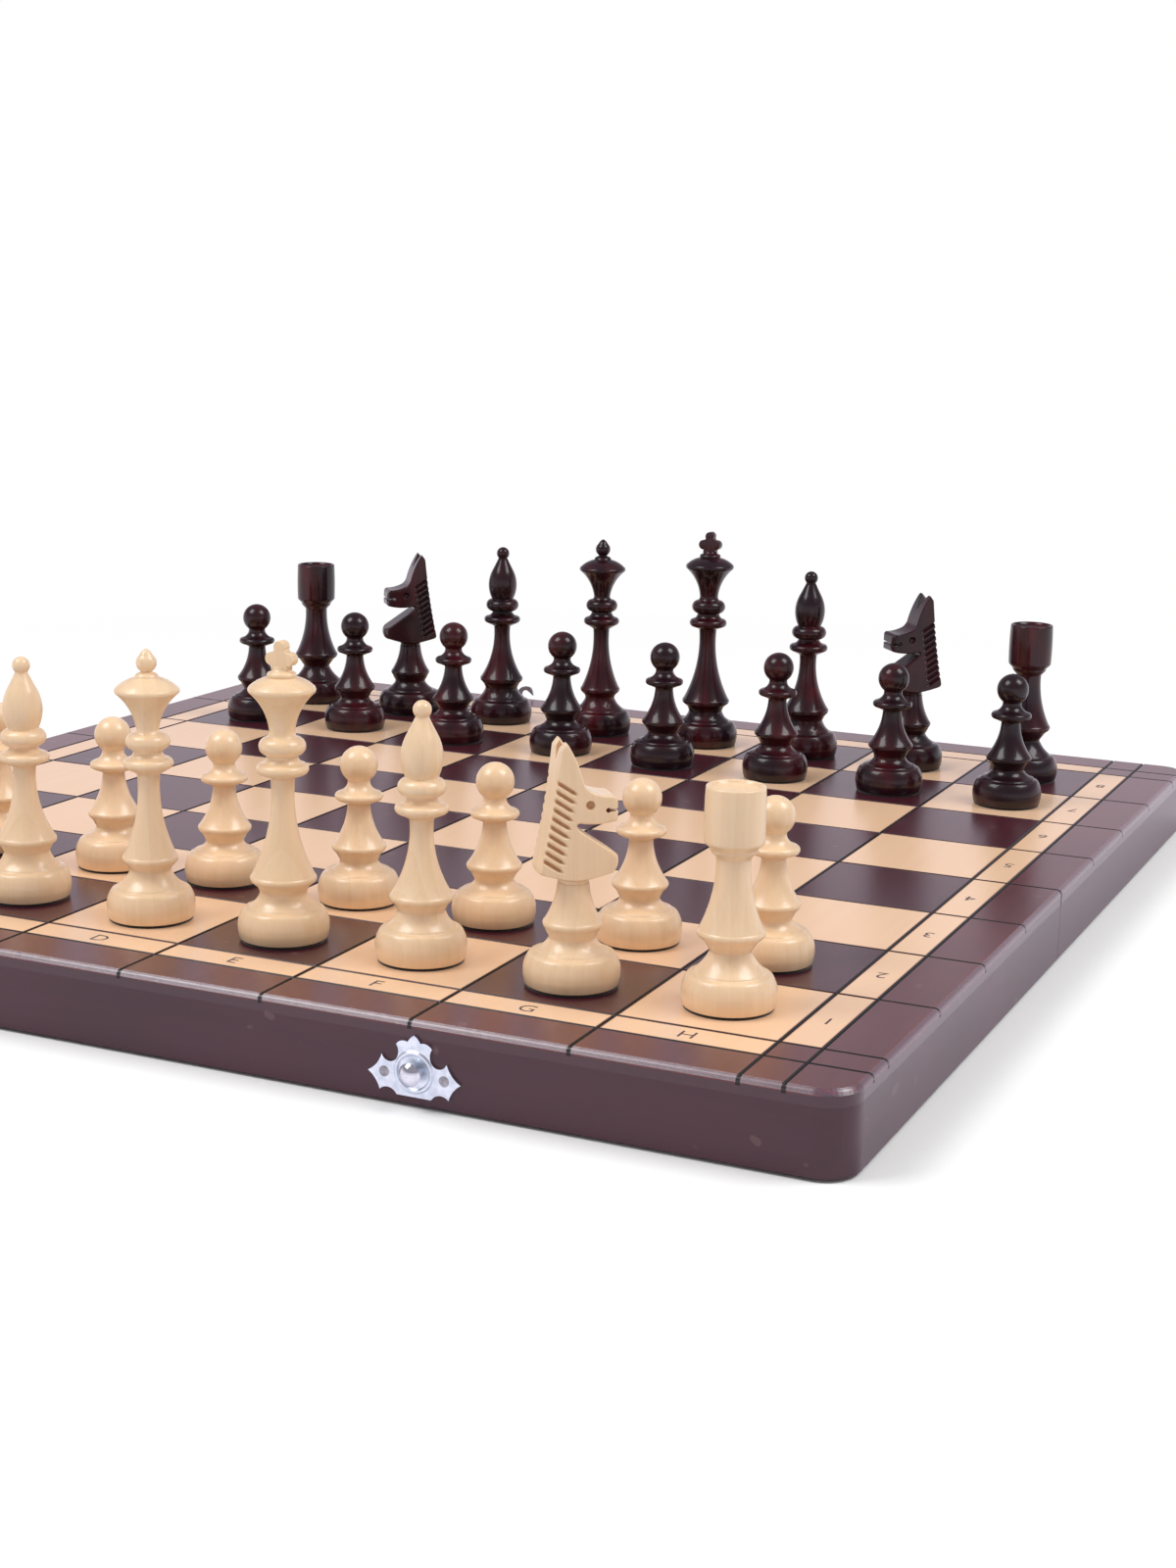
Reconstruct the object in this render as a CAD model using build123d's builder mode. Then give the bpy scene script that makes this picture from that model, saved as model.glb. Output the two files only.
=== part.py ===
from build123d import *
from math import cos, radians, sin, sqrt
import os

os.makedirs("parts", exist_ok=True)

# A folding chess set: a board in two hinged halves that close into a case, and its chessmen.
# Millimetres. X runs from the a-file to the h-file, Y from rank 1 to rank 8, Z up.
# The origin is under the middle of the board, on the table.

# Board
SQUARE = 50.0
STRIP = 13.0  # pale strip that holds the file letters and rank numbers
EDGE = 4 * SQUARE + 32.0  # from the middle of the board to its outer edge
BOARD_HEIGHT = 25.0
PANEL = 5.0
WALL = 8.0
FOLD_GAP = 0.3
CORNER_R = 11.0
TOP_ROUND = 1.7
FOLD_CHAMFER = 0.5
SPINE_ROUND = 3.4
GROOVE_W = 1.1
GROOVE_D = 0.7
LINING = 1.5
LINING_PLAY = 0.2

# Hinges: the pin's axis lies in the plane of the rims, so that the rims meet when the case is shut
HINGE_X = (-150.0, 150.0)
BARREL_R = 1.2
PIN_R = 0.5
PIN_PLAY = 0.05
LEAF_W = 30.0
LEAF_T = 0.8
LEAF_FACE = 0.2  # from the pin's plane to the face of a leaf
LEAF_TOP = 14.5
KNUCKLES = 5
KNUCKLE_PLAY = 0.2
MORTISE_PLAY = 0.1
SCREW_X = 9.0
SCREW_Z = 9.5
SCREW_HEAD_R = 1.8
SCREW_LENGTH = 6.0

# Latches: a stamped plate with a ball stud on the near wall, and the same plate with a hook on the far wall
LATCH_X = (-102.0, 102.0)
LATCH_RISE = 9.9  # from the rim to the stud and to the hook's rivet
PLATE_T = 0.8
RING_H = 0.5
NAIL_X = 9.7
NAIL_DROP = 1.2
NAIL_HEAD_R = 1.65
NAIL_HEAD_H = 0.5
NAIL_R = 0.6
NAIL_DEPTH = 6.0
NECK_R = 1.75
NECK_DEPTH = 5.0
STUD_R = 3.5
HOOK_GAP = 0.2
HOOK_T = 1.0
LATCH_PROUD = 5.5  # how far studs and rivets stand out from the wall
HOOK_EYE_R = 4.2
HOOK_TIP = 24.0
HOOK_SLOT = 4.1
HOOK_LEAN = {"left": 33.0, "right": 78.0}  # from straight up, towards the h-file, as the hooks lie

# Chessmen
FELT = 0.8
FELT_INSET = 0.8
DRUM_FOOT = 3.6
DRUM_TOP = 5.0
SHOULDER_TOP = 10.3
STEP_R = 10.4
STEP_Z = 11.2
HEAD_T = 12.0  # thickness of the knight's carved head
EYE_R = 1.35
EYE_DEPTH = 1.2
MOUTH_R = 0.8
MOUTH_SLIT = 0.7
KING_TOP = 95.5
CROSS_FOOT = 86.4
CROSS_Z = 89.8
CROSS_SPAN = 9.9
CROSS_ARM_R = 2.1
CROSS_KNOB_R = 1.95
CROSS_T = 3.6

# Heights and inner faces that follow from the sizes above
RIM_Z = BARREL_R
BOARD_TOP = RIM_Z + BOARD_HEIGHT
PANEL_Z = BOARD_TOP - PANEL
SPINE = FOLD_GAP / 2
INNER = EDGE - WALL
INNER_SPINE = SPINE + WALL
STRIP_LINE = 4 * SQUARE + STRIP
HOOK_FACE = PLATE_T + RING_H + HOOK_GAP  # back of a hook, from the wall
LATCH_Z = RIM_Z + LATCH_RISE
HEAD_FACE = HOOK_FACE + HOOK_T + HOOK_GAP  # underside of a stud's or rivet's head, from the wall
SCREW_R = SCREW_HEAD_R - LEAF_T  # a square countersink through the leaf

NEAR = -1
FAR = 1


def save(part, name):
    part.label = name
    export_step(part, f"parts/{name}.step")


def save_group(solids, name):
    save(Compound(children=list(solids)), name)


def upright_plane(side, distance):
    """An upright plane across one half, at a distance from the fold and facing away from it."""
    return Plane(origin=(0, side * distance, 0), x_dir=(-side, 0, 0), z_dir=(0, side, 0))


# Board halves
def half_outline(side):
    """One half of the board from above, inside an open sketch, with its two outer corners rounded."""
    depth = EDGE - SPINE
    with Locations((0, side * (SPINE + depth / 2))):
        outline = Rectangle(2 * EDGE, depth)
    outer_corners = outline.vertices().filter_by(lambda corner: abs(corner.Y) > EDGE / 2)
    fillet(outer_corners, CORNER_R)


def make_panel(side, name):
    """Playing panel: rounded outside, chamfered at the fold, with V-grooves along every line."""
    across = [n * SQUARE for n in range(-4, 5)] + [-STRIP_LINE, STRIP_LINE]
    along = [side * n * SQUARE for n in range(1, 5)] + [side * STRIP_LINE]
    vee = [(-GROOVE_W, GROOVE_D), (0, -GROOVE_D), (GROOVE_W, GROOVE_D)]
    with BuildPart() as panel:
        with BuildSketch(Plane.XY.offset(PANEL_Z)):
            half_outline(side)
        extrude(amount=PANEL)
        top = panel.faces().sort_by(Axis.Z)[-1]
        at_fold = top.edges().filter_by(Axis.X).sort_by(lambda edge: abs(edge.center().Y))[0]
        around = top.edges().filter_by(lambda edge: abs(edge.center().Y) > 1)
        fillet(around, TOP_ROUND)
        fold_edges = panel.edges().filter_by(Axis.X).group_by(Axis.Z)[-1]
        chamfer(fold_edges.sort_by_distance(at_fold.center())[0], FOLD_CHAMFER)
        with BuildSketch(Plane.XZ):
            with Locations(*[(x, BOARD_TOP) for x in across]):
                Polygon(*vee, align=None)
        extrude(amount=EDGE + 1, both=True, mode=Mode.SUBTRACT)
        with BuildSketch(Plane.YZ):
            with Locations(*[(y, BOARD_TOP) for y in along]):
                Polygon(*vee, align=None)
        extrude(amount=EDGE + 1, both=True, mode=Mode.SUBTRACT)
    save(panel.part, name)


def make_rail(side, name, corners):
    """One wall of a half, with its mitred ends: corners are its four corners from above."""
    with BuildPart() as rail:
        with BuildSketch(Plane.XY.offset(RIM_Z)):
            half_outline(side)
            Polygon(*[(x, side * y) for x, y in corners], align=None, mode=Mode.INTERSECT)
        extrude(amount=PANEL_Z - RIM_Z)
    save(rail.part, name)


def make_outer_rail(side, name):
    """Outer wall, drilled for the latch plates' nails and for the studs or rivets."""
    with BuildPart() as rail:
        with BuildSketch(Plane.XY.offset(RIM_Z)):
            half_outline(side)
            mitred = [(-EDGE, EDGE), (EDGE, EDGE), (INNER, INNER), (-INNER, INNER)]
            Polygon(*[(x, side * y) for x, y in mitred], align=None, mode=Mode.INTERSECT)
        extrude(amount=PANEL_Z - RIM_Z)
        with BuildSketch(upright_plane(side, EDGE)):
            with Locations(*[(x, LATCH_Z) for x in LATCH_X]):
                Circle(NECK_R)
        extrude(amount=-NECK_DEPTH, mode=Mode.SUBTRACT)
        with BuildSketch(upright_plane(side, EDGE)):
            with Locations(*nail_spots()):
                Circle(NAIL_R)
        extrude(amount=-NAIL_DEPTH, mode=Mode.SUBTRACT)
    save(rail.part, name)


def make_hinge_rail(side, name):
    """Spine wall: its lower edge is rounded, and each hinge leaf is let in flush."""
    mitred = [(-EDGE, SPINE), (EDGE, SPINE), (INNER, INNER_SPINE), (-INNER, INNER_SPINE)]
    with BuildPart() as rail:
        with BuildSketch(Plane.XY.offset(RIM_Z)):
            Polygon(*[(x, side * y) for x, y in mitred], align=None)
        extrude(amount=PANEL_Z - RIM_Z)
        lower = rail.edges().filter_by(Axis.X).group_by(Axis.Z)[0]
        fillet(lower.sort_by(lambda edge: abs(edge.center().Y))[0], SPINE_ROUND)
        with BuildSketch(upright_plane(side, SPINE)):
            with Locations(*[(x, (RIM_Z + LEAF_TOP) / 2) for x in HINGE_X]):
                Rectangle(LEAF_W + 2 * MORTISE_PLAY, LEAF_TOP - RIM_Z + 2 * MORTISE_PLAY)
        extrude(amount=LEAF_FACE + LEAF_T - SPINE, mode=Mode.SUBTRACT)
        with BuildSketch(upright_plane(side, SPINE)):
            with Locations(*screw_spots()):
                Circle(SCREW_R)
        extrude(amount=LEAF_FACE + SCREW_LENGTH - SPINE, mode=Mode.SUBTRACT)
    save(rail.part, name)


def make_lining(side, name):
    """Felt glued under the panel, inside the case."""
    depth = INNER - INNER_SPINE - 2 * LINING_PLAY
    with BuildPart() as lining:
        with BuildSketch(Plane.XY.offset(PANEL_Z)):
            with Locations((0, side * (INNER + INNER_SPINE) / 2)):
                Rectangle(2 * (INNER - LINING_PLAY), depth)
        extrude(amount=-LINING)
    save(lining.part, name)


def make_half(side, prefix, outer_name):
    make_panel(side, f"{prefix}_panel")
    make_outer_rail(side, outer_name)
    for hand, name in ((-1, "left"), (1, "right")):
        outside = [(hand * EDGE, SPINE), (hand * EDGE, EDGE)]
        inside = [(hand * INNER, INNER), (hand * INNER, INNER_SPINE)]
        make_rail(side, f"{prefix}_{name}_rail", outside + inside)
    make_hinge_rail(side, f"{prefix}_hinge_rail")
    make_lining(side, f"{prefix}_felt_lining")


# Hinges
def screw_spots():
    return [(x + hand * SCREW_X, SCREW_Z) for x in HINGE_X for hand in (-1, 1)]


def screw_plane(side):
    """Faces of the leaves of one half, facing the fold, where the screws go in."""
    return Plane(origin=(0, side * LEAF_FACE, 0), x_dir=(side, 0, 0), z_dir=(0, -side, 0))


def make_leaves(side, name):
    """Hinge leaves: countersunk plates, each rolled into its share of the barrel's knuckles."""
    plate_foot = RIM_Z + BARREL_R + KNUCKLE_PLAY
    pitch = (LEAF_W + KNUCKLE_PLAY) / KNUCKLES
    first = 0 if side == NEAR else 1
    leaves = []
    for middle in HINGE_X:
        with BuildPart() as leaf:
            with BuildSketch(upright_plane(side, LEAF_FACE)):
                with Locations((-side * middle, (plate_foot + LEAF_TOP) / 2)):
                    Rectangle(LEAF_W, LEAF_TOP - plate_foot)
            extrude(amount=LEAF_T)
            for n in range(first, KNUCKLES, 2):
                with BuildSketch(Plane.YZ.offset(middle - LEAF_W / 2 + n * pitch)):
                    with Locations((0, RIM_Z)):
                        Circle(BARREL_R)
                    with Locations((side * (LEAF_FACE + LEAF_T / 2), (RIM_Z + plate_foot) / 2)):
                        Rectangle(LEAF_T, plate_foot - RIM_Z)
                    with Locations((0, RIM_Z)):
                        Circle(PIN_R + PIN_PLAY, mode=Mode.SUBTRACT)
                extrude(amount=pitch - KNUCKLE_PLAY)
            with Locations(screw_plane(side)):
                with Locations(*[(side * (middle + hand * SCREW_X), SCREW_Z) for hand in (-1, 1)]):
                    with Locations((0, 0, -LEAF_T / 2)):
                        Cone(SCREW_R, SCREW_HEAD_R, LEAF_T, mode=Mode.SUBTRACT)
        leaves.append(leaf.part)
    save_group(leaves, name)


def make_hinge_screws(side, name):
    """Countersunk wood screws, two to a leaf."""
    screws = []
    for x, z in screw_spots():
        with BuildPart() as screw:
            with BuildSketch(Plane(origin=(x, side * LEAF_FACE, z), x_dir=(1, 0, 0), z_dir=(0, 0, 1))):
                shank_end = side * (SCREW_LENGTH - SCREW_R)
                tip = side * SCREW_LENGTH
                Polygon((0, 0), (SCREW_HEAD_R, 0), (SCREW_R, side * LEAF_T), (SCREW_R, shank_end), (0, tip),
                        align=None)
            revolve(axis=Axis((x, 0, z), (0, 1, 0)))
        screws.append(screw.part)
    save_group(screws, name)


def make_hinge_pins(name):
    pins = []
    for middle in HINGE_X:
        with BuildPart() as pin:
            with BuildSketch(Plane.YZ.offset(middle)):
                with Locations((0, RIM_Z)):
                    Circle(PIN_R)
            extrude(amount=LEAF_W / 2, both=True)
        pins.append(pin.part)
    save_group(pins, name)


# Latches
def nail_spots():
    return [(x + hand * NAIL_X, LATCH_Z - NAIL_DROP) for x in LATCH_X for hand in (-1, 1)]


def plate_outline():
    """Ornate outline of one half of a latch plate around its stud, inside an open line block."""
    point = (0, 11.0)
    crest_start = (2.1, 8.8)
    crest_end = (5.8, 7.6)
    waist = (6.2, 2.7)
    wing_top = (10.5, 4.0)
    wing_tip = (15.0, -1.6)
    wing_foot = (11.2, -6.8)
    hem = (5.6, -7.5)
    ThreePointArc(point, (1.5, 9.7), crest_start)
    ThreePointArc(crest_start, (4.1, 8.9), crest_end)
    ThreePointArc(crest_end, (5.1, 5.1), waist)
    ThreePointArc(waist, (8.1, 2.1), wing_top)
    ThreePointArc(wing_top, (12.3, 0.6), wing_tip)
    ThreePointArc(wing_tip, (12.5, -4.0), wing_foot)
    ThreePointArc(wing_foot, (8.5, -5.7), hem)
    Polyline(hem, (0, hem[1]), point)


def make_plates(side, name):
    """Stamped latch plates, with a raised ring around the stud or rivet."""
    plates = []
    for x in LATCH_X:
        spot = Plane(origin=(x, side * EDGE, LATCH_Z), x_dir=(-side, 0, 0), z_dir=(0, side, 0))
        with BuildPart() as plate:
            with BuildSketch(spot):
                with BuildLine():
                    plate_outline()
                make_face()
                mirror(about=Plane.YZ)
            extrude(amount=PLATE_T)
            with BuildSketch(Plane(origin=spot.origin, x_dir=(1, 0, 0), z_dir=(0, 0, 1))):
                base = side * PLATE_T
                crown = side * (PLATE_T + RING_H)
                Polygon((4.9, base), (5.4, crown), (6.0, crown), (6.5, base), align=None)
            revolve(axis=Axis(spot.origin, (0, 1, 0)))
            with BuildSketch(spot):
                Circle(NECK_R)
            extrude(amount=PLATE_T, mode=Mode.SUBTRACT)
            with BuildSketch(spot):
                with Locations((-NAIL_X, -NAIL_DROP), (NAIL_X, -NAIL_DROP)):
                    Circle(NAIL_R)
            extrude(amount=PLATE_T, mode=Mode.SUBTRACT)
        plates.append(plate.part)
    save_group(plates, name)


def make_nails(side, name):
    """Round-headed nails that hold the latch plates."""
    nails = []
    for x, z in nail_spots():
        with BuildPart() as nail:
            with BuildSketch(Plane(origin=(x, side * (EDGE + PLATE_T), z), x_dir=(1, 0, 0), z_dir=(0, 0, 1))):
                with BuildLine():
                    crown = (0, side * NAIL_HEAD_H)
                    TangentArc(crown, (NAIL_HEAD_R, 0), tangent=(1, 0))
                    end = -side * (PLATE_T + NAIL_DEPTH)
                    Polyline((NAIL_HEAD_R, 0), (NAIL_R, 0), (NAIL_R, end + side * NAIL_R), (0, end), crown)
                make_face()
            revolve(axis=Axis((x, 0, z), (0, 1, 0)))
        nails.append(nail.part)
    save_group(nails, name)


def make_studs(side, name, head_r, swell):
    """Turned studs or rivets: a neck let into the wall and a domed head that stands clear of the hook."""
    studs = []
    for x in LATCH_X:
        with BuildPart() as stud:
            with BuildSketch(Plane(origin=(x, side * EDGE, LATCH_Z), x_dir=(1, 0, 0), z_dir=(0, 0, 1))):
                with BuildLine():
                    under = (head_r - swell, side * HEAD_FACE)
                    edge = (head_r, side * (HEAD_FACE + swell))
                    crown = (0, side * LATCH_PROUD)
                    inner_end = -side * NECK_DEPTH
                    Polyline(crown, (0, inner_end), (NECK_R, inner_end), (NECK_R, under[1]), under, edge)
                    TangentArc(crown, edge, tangent=(1, 0))
                make_face()
            revolve(axis=Axis((x, 0, LATCH_Z), (0, 1, 0)))
        studs.append(stud.part)
    save_group(studs, name)


def make_hook(hand, x, name):
    """Swing hook: a flat eye on the rivet and a nose whose slot catches the stud's neck."""
    lean = radians(HOOK_LEAN[hand])
    face = Plane(
        origin=(x, EDGE + HOOK_FACE + HOOK_T, LATCH_Z), x_dir=(cos(lean), 0, -sin(lean)), z_dir=(0, -1, 0)
    )
    reach = 2 * LATCH_RISE
    half_slot = HOOK_SLOT / 2
    with BuildPart() as hook:
        with BuildSketch(face):
            Circle(HOOK_EYE_R)
            with BuildLine():
                for way in (-1, 1):
                    Line((way * 2.9, 0), (way * 2.2, 12.0))
                    ThreePointArc((way * 2.2, 12.0), (way * 2.9, 15.6), (way * 4.3, 18.4))
                    ThreePointArc((way * 4.3, 18.4), (way * 3.6, 21.6), (0, HOOK_TIP))
                Line((-2.9, 0), (2.9, 0))
            make_face()
            Circle(NECK_R + HOOK_GAP / 2, mode=Mode.SUBTRACT)
            with BuildLine():
                outer = CenterArc((0, 0), reach + half_slot, 60, 30)
                inner = CenterArc((0, 0), reach - half_slot, 60, 30)
                ThreePointArc(outer @ 1, (-half_slot, reach), inner @ 1)
                Line(inner @ 0, outer @ 0)
            make_face(mode=Mode.SUBTRACT)
        extrude(amount=HOOK_T)
    save(hook.part, name)


# Chessmen: heights are above the square they stand on
def foot_outline(radius, flare, waist, under, skirt):
    """The lower turning that all the men share: a drum, a step, a flare and an undercut skirt."""
    shoulder = (radius - 1.8, SHOULDER_TOP)
    Polyline((0, FELT), (radius - 0.5, FELT), (radius, DRUM_FOOT), (radius, DRUM_TOP))
    ThreePointArc((radius, DRUM_TOP), (radius - 0.5, 7.5), shoulder)
    Line(shoulder, (STEP_R, STEP_Z))
    ThreePointArc((STEP_R, STEP_Z), flare, waist)
    Polyline(waist, under, skirt)
    return skirt


def disc_outline(stem, under, edge, over, hollow, neck):
    """A collar's disc: flat below, round at its edge, with a hollow that leads up to its neck."""
    Line(stem, under)
    ThreePointArc(under, edge, over)
    ThreePointArc(over, hollow, neck)
    return neck


def ball(neck_r, radius, middle):
    """A turned ball on a neck. Gives where it leaves the neck, and the height of its top."""
    start = (neck_r, middle - sqrt(radius**2 - neck_r**2))
    ThreePointArc(start, (radius, middle), (0, middle + radius))
    return start, middle + radius


def pawn_outline():
    skirt = foot_outline(13.8, (7.9, 12.3), (6.3, 14.4), (7.6, 17.0), (9.0, 18.8))
    ThreePointArc(skirt, (5.2, 26.5), (3.8, 33.8))
    collar = disc_outline((3.8, 33.8), (7.2, 35.9), (7.95, 36.7), (7.3, 37.5), (5.3, 38.6), (3.9, 40.4))
    neck, top = ball(3.7, 6.3, 47.0)
    Line(collar, neck)
    return top


def rook_outline():
    skirt = foot_outline(14.2, (7.8, 14.0), (6.0, 17.2), (8.2, 20.4), (10.0, 22.3))
    stem = (5.1, 45.0)
    tower_foot = (8.8, 49.6)
    rim = (8.7, 66.2)
    dish = (7.4, 66.2)
    ThreePointArc(skirt, (6.1, 33.6), stem)
    Polyline(stem, (7.0, 47.0), (7.0, 47.8), tower_foot)
    dish_middle = (0, 64.4)
    ThreePointArc(tower_foot, (8.95, 58.0), rim)
    Line(rim, dish)
    TangentArc(dish_middle, dish, tangent=(1, 0))
    return dish_middle[1]


def bishop_outline():
    skirt = foot_outline(14.3, (8.5, 13.4), (7.4, 16.0), (8.5, 18.1), (9.8, 19.8))
    ThreePointArc(skirt, (5.2, 30.5), (3.8, 44.8))
    collar = disc_outline((3.8, 44.8), (7.5, 47.1), (8.25, 48.1), (7.5, 49.2), (5.5, 50.2), (4.5, 51.9))
    head_foot = (4.9, 57.4)
    shoulder = (4.9, 70.6)
    ThreePointArc(collar, (7.5, 54.6), head_foot)
    ThreePointArc(head_foot, (6.5, 64.6), shoulder)
    neck, top = ball(2.0, 2.9, 78.5)
    ThreePointArc(shoulder, (3.2, 73.9), neck)
    return top


def queen_outline():
    skirt = foot_outline(14.3, (8.2, 13.4), (6.6, 16.3), (7.0, 17.5), (8.9, 19.8))
    ThreePointArc(skirt, (4.9, 31.5), (3.7, 48.0))
    collar = disc_outline((3.7, 48.0), (7.2, 50.6), (7.95, 51.7), (7.2, 52.9), (5.4, 54.0), (4.6, 55.9))
    ring_top = (4.3, 61.4)
    cup_foot = (3.6, 62.4)
    under_rim = (10.0, 74.3)
    over_rim = (9.9, 76.1)
    dome_top = (3.9, 79.4)
    bead_top = (2.1, 81.0)
    drop_foot = (1.75, 81.4)
    drop_shoulder = (2.2, 86.5)
    drop_tip = (0.6, 88.4)
    ThreePointArc(collar, (7.1, 58.8), ring_top)
    Line(ring_top, cup_foot)
    ThreePointArc(cup_foot, (5.0, 67.6), under_rim)
    ThreePointArc(under_rim, (10.4, 75.1), over_rim)
    ThreePointArc(over_rim, (7.3, 78.1), dome_top)
    ThreePointArc(dome_top, (3.5, 80.3), bead_top)
    Line(bead_top, drop_foot)
    ThreePointArc(drop_foot, (3.3, 83.9), drop_shoulder)
    ThreePointArc(drop_shoulder, (1.5, 87.6), drop_tip)
    Line(drop_tip, (0, 88.7))
    return 88.7


def king_outline():
    skirt = foot_outline(14.5, (9.0, 12.4), (7.4, 15.6), (8.2, 17.4), (10.4, 19.6))
    ThreePointArc(skirt, (5.4, 33.0), (3.9, 52.3))
    collar = disc_outline((3.9, 52.3), (7.4, 54.1), (8.15, 55.2), (7.4, 56.4), (5.6, 57.6), (4.9, 59.4))
    ring_top = (4.6, 65.2)
    cup_foot = (4.0, 66.4)
    under_rim = (10.3, 79.3)
    over_rim = (10.0, 81.3)
    dome_top = (4.4, 84.1)
    bead_top = (3.8, 85.7)
    cross_foot = (2.5, 87.6)
    ThreePointArc(collar, (7.4, 62.2), ring_top)
    Line(ring_top, cup_foot)
    ThreePointArc(cup_foot, (5.4, 72.5), under_rim)
    ThreePointArc(under_rim, (10.6, 80.3), over_rim)
    ThreePointArc(over_rim, (7.8, 82.9), dome_top)
    ThreePointArc(dome_top, (4.6, 85.0), bead_top)
    ThreePointArc(bead_top, (2.9, 86.4), cross_foot)
    Line(cross_foot, (0, cross_foot[1]))
    return cross_foot[1]


def knight_outline():
    skirt = foot_outline(14.7, (8.3, 12.9), (6.9, 14.9), (8.0, 17.0), (8.9, 18.9))
    ThreePointArc(skirt, (5.9, 26.0), (4.8, 32.0))
    Line((4.8, 32.0), (0, 33.0))
    return 33.0


def king_cross():
    """The cross on the king's crown: round arms, a round knob, and sides that run down to its foot."""
    knob = (0, KING_TOP - CROSS_KNOB_R)
    with BuildPart() as cross:
        with BuildSketch(Plane.XZ):
            with Locations((0, CROSS_Z)):
                SlotOverall(CROSS_SPAN, 2 * CROSS_ARM_R)
            with Locations(knob):
                Circle(CROSS_KNOB_R)
            Polygon((-2.9, CROSS_FOOT), (2.9, CROSS_FOOT), (1.7, knob[1]), (-1.7, knob[1]), align=None)
        extrude(amount=CROSS_T / 2, both=True)
    return cross.part


def knight_head():
    """The knight's head: a turned blank sawn flat on both sides, then sawn to outline and drilled."""
    ear = (-4.3, 75.1)
    poll = (-5.9, 73.0)
    heel = (-11.4, 37.0)
    prow = (11.9, 40.7)
    throat = (0.3, 48.6)
    throat_end = (-0.9, 49.7)
    jaw_root = (-0.4, 50.9)
    chin = (11.9, 51.4)
    nose = (11.8, 57.6)
    muzzle_top = (10.8, 58.7)
    brow = (2.6, 60.7)
    forehead = (1.3, 62.4)
    mouth_corner = (8.7, 54.5)
    eye = (3.2, 56.2)
    base_edge = (12.1, 35.6)
    blank_r = 12.8
    with BuildPart() as head:
        with BuildSketch(Plane.XZ):
            with BuildLine():
                Polyline((0, ear[1]), (0, 31.6), (4.6, 31.6), (4.6, 33.1), base_edge)
                ThreePointArc(base_edge, (13.2, 38.2), (blank_r, prow[1]))
                Polyline((blank_r, prow[1]), (blank_r, ear[1]), (0, ear[1]))
            make_face()
        revolve(axis=Axis.Z)
        with BuildSketch(Plane.XZ):
            with BuildLine():
                Line(ear, poll)
                ThreePointArc(poll, (-8.0, 56.0), heel)
                Polyline(heel, (heel[0], 31.6), (14.0, 31.6), (14.0, 39.3), prow)
                Polyline(prow, throat, throat_end, jaw_root)
                ThreePointArc(jaw_root, (6.0, 50.4), chin)
                Polyline(chin, (12.2, 53.6), nose, muzzle_top)
                ThreePointArc(muzzle_top, (6.0, 59.3), brow)
                Line(brow, forehead)
                ThreePointArc(forehead, (-0.9, 69.0), ear)
            make_face()
            with Locations(mouth_corner):
                Circle(MOUTH_R, mode=Mode.SUBTRACT)
                Rectangle(nose[0], MOUTH_SLIT, align=(Align.MIN, Align.CENTER), mode=Mode.SUBTRACT)
        extrude(amount=HEAD_T / 2, both=True, mode=Mode.INTERSECT)
        with BuildSketch(Plane.YZ):
            Polygon((-4.2, 77.0), (0, 68.6), (4.2, 77.0), align=None)
        extrude(amount=HEAD_T, both=True, mode=Mode.SUBTRACT)
        with Locations((eye[0], HEAD_T / 2, eye[1]), (eye[0], -HEAD_T / 2, eye[1])):
            Cylinder(EYE_R, 2 * EYE_DEPTH, rotation=(90, 0, 0), mode=Mode.SUBTRACT)
    return head.part


OUTLINES = {
    "king": (king_outline, 14.5),
    "queen": (queen_outline, 14.3),
    "bishop": (bishop_outline, 14.3),
    "knight": (knight_outline, 14.7),
    "rook": (rook_outline, 14.2),
    "pawn": (pawn_outline, 13.8),
}
CARVED = {"king": king_cross, "knight": knight_head}


def make_man(kind):
    """One chessman at the origin: its wood and the felt disc under it."""
    outline, radius = OUTLINES[kind]
    carved = CARVED[kind]() if kind in CARVED else None
    with BuildPart() as wood:
        with BuildSketch(Plane.XZ):
            with BuildLine():
                top = outline()
                Line((0, top), (0, FELT))
            make_face()
        revolve(axis=Axis.Z)
        if carved:
            add(carved)
    with BuildPart() as felt:
        with BuildSketch():
            Circle(radius - FELT_INSET)
        extrude(amount=FELT)
    return wood.part, felt.part


# How the men stand in the photograph: off the middle of their squares, from file a to file h
BACK_RANK = ["rook", "knight", "bishop", "queen", "king", "bishop", "knight", "rook"]
WHITE_BACK = [(0, -3), (0, -3), (0, -3), (0.4, -4.4), (0.5, -4), (-0.5, -3.2), (1.4, -4.5), (1, -2.1)]
WHITE_PAWNS = [(0, -4), (0, -4), (0.8, -5), (-4.2, -3.9), (-0.5, -4.9), (0.2, -5), (1, -2.8), (-3.6, -5)]
BLACK_PAWNS = [
    (-1.6, -1.5), (-0.6, 0.6), (1.2, -1.5), (3.9, 0.2), (3.8, -3), (5.1, -2.3), (5, -1.9), (4.6, -1.5)
]
BLACK_BACK = [
    (-1, 0.5), (1.8, -1.5), (-0.6, 0.2), (0.7, -1.5), (3, -2.1), (0.3, -1.5), (-2.1, -2.1), (-1.4, -1.5)
]
ROWS = [
    ("white", 1, BACK_RANK, WHITE_BACK, 40.0),
    ("white", 2, ["pawn"] * 8, WHITE_PAWNS, 0.0),
    ("black", 7, ["pawn"] * 8, BLACK_PAWNS, 0.0),
    ("black", 8, BACK_RANK, BLACK_BACK, 220.0),
]
SINGLE = ("king", "queen")


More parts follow.
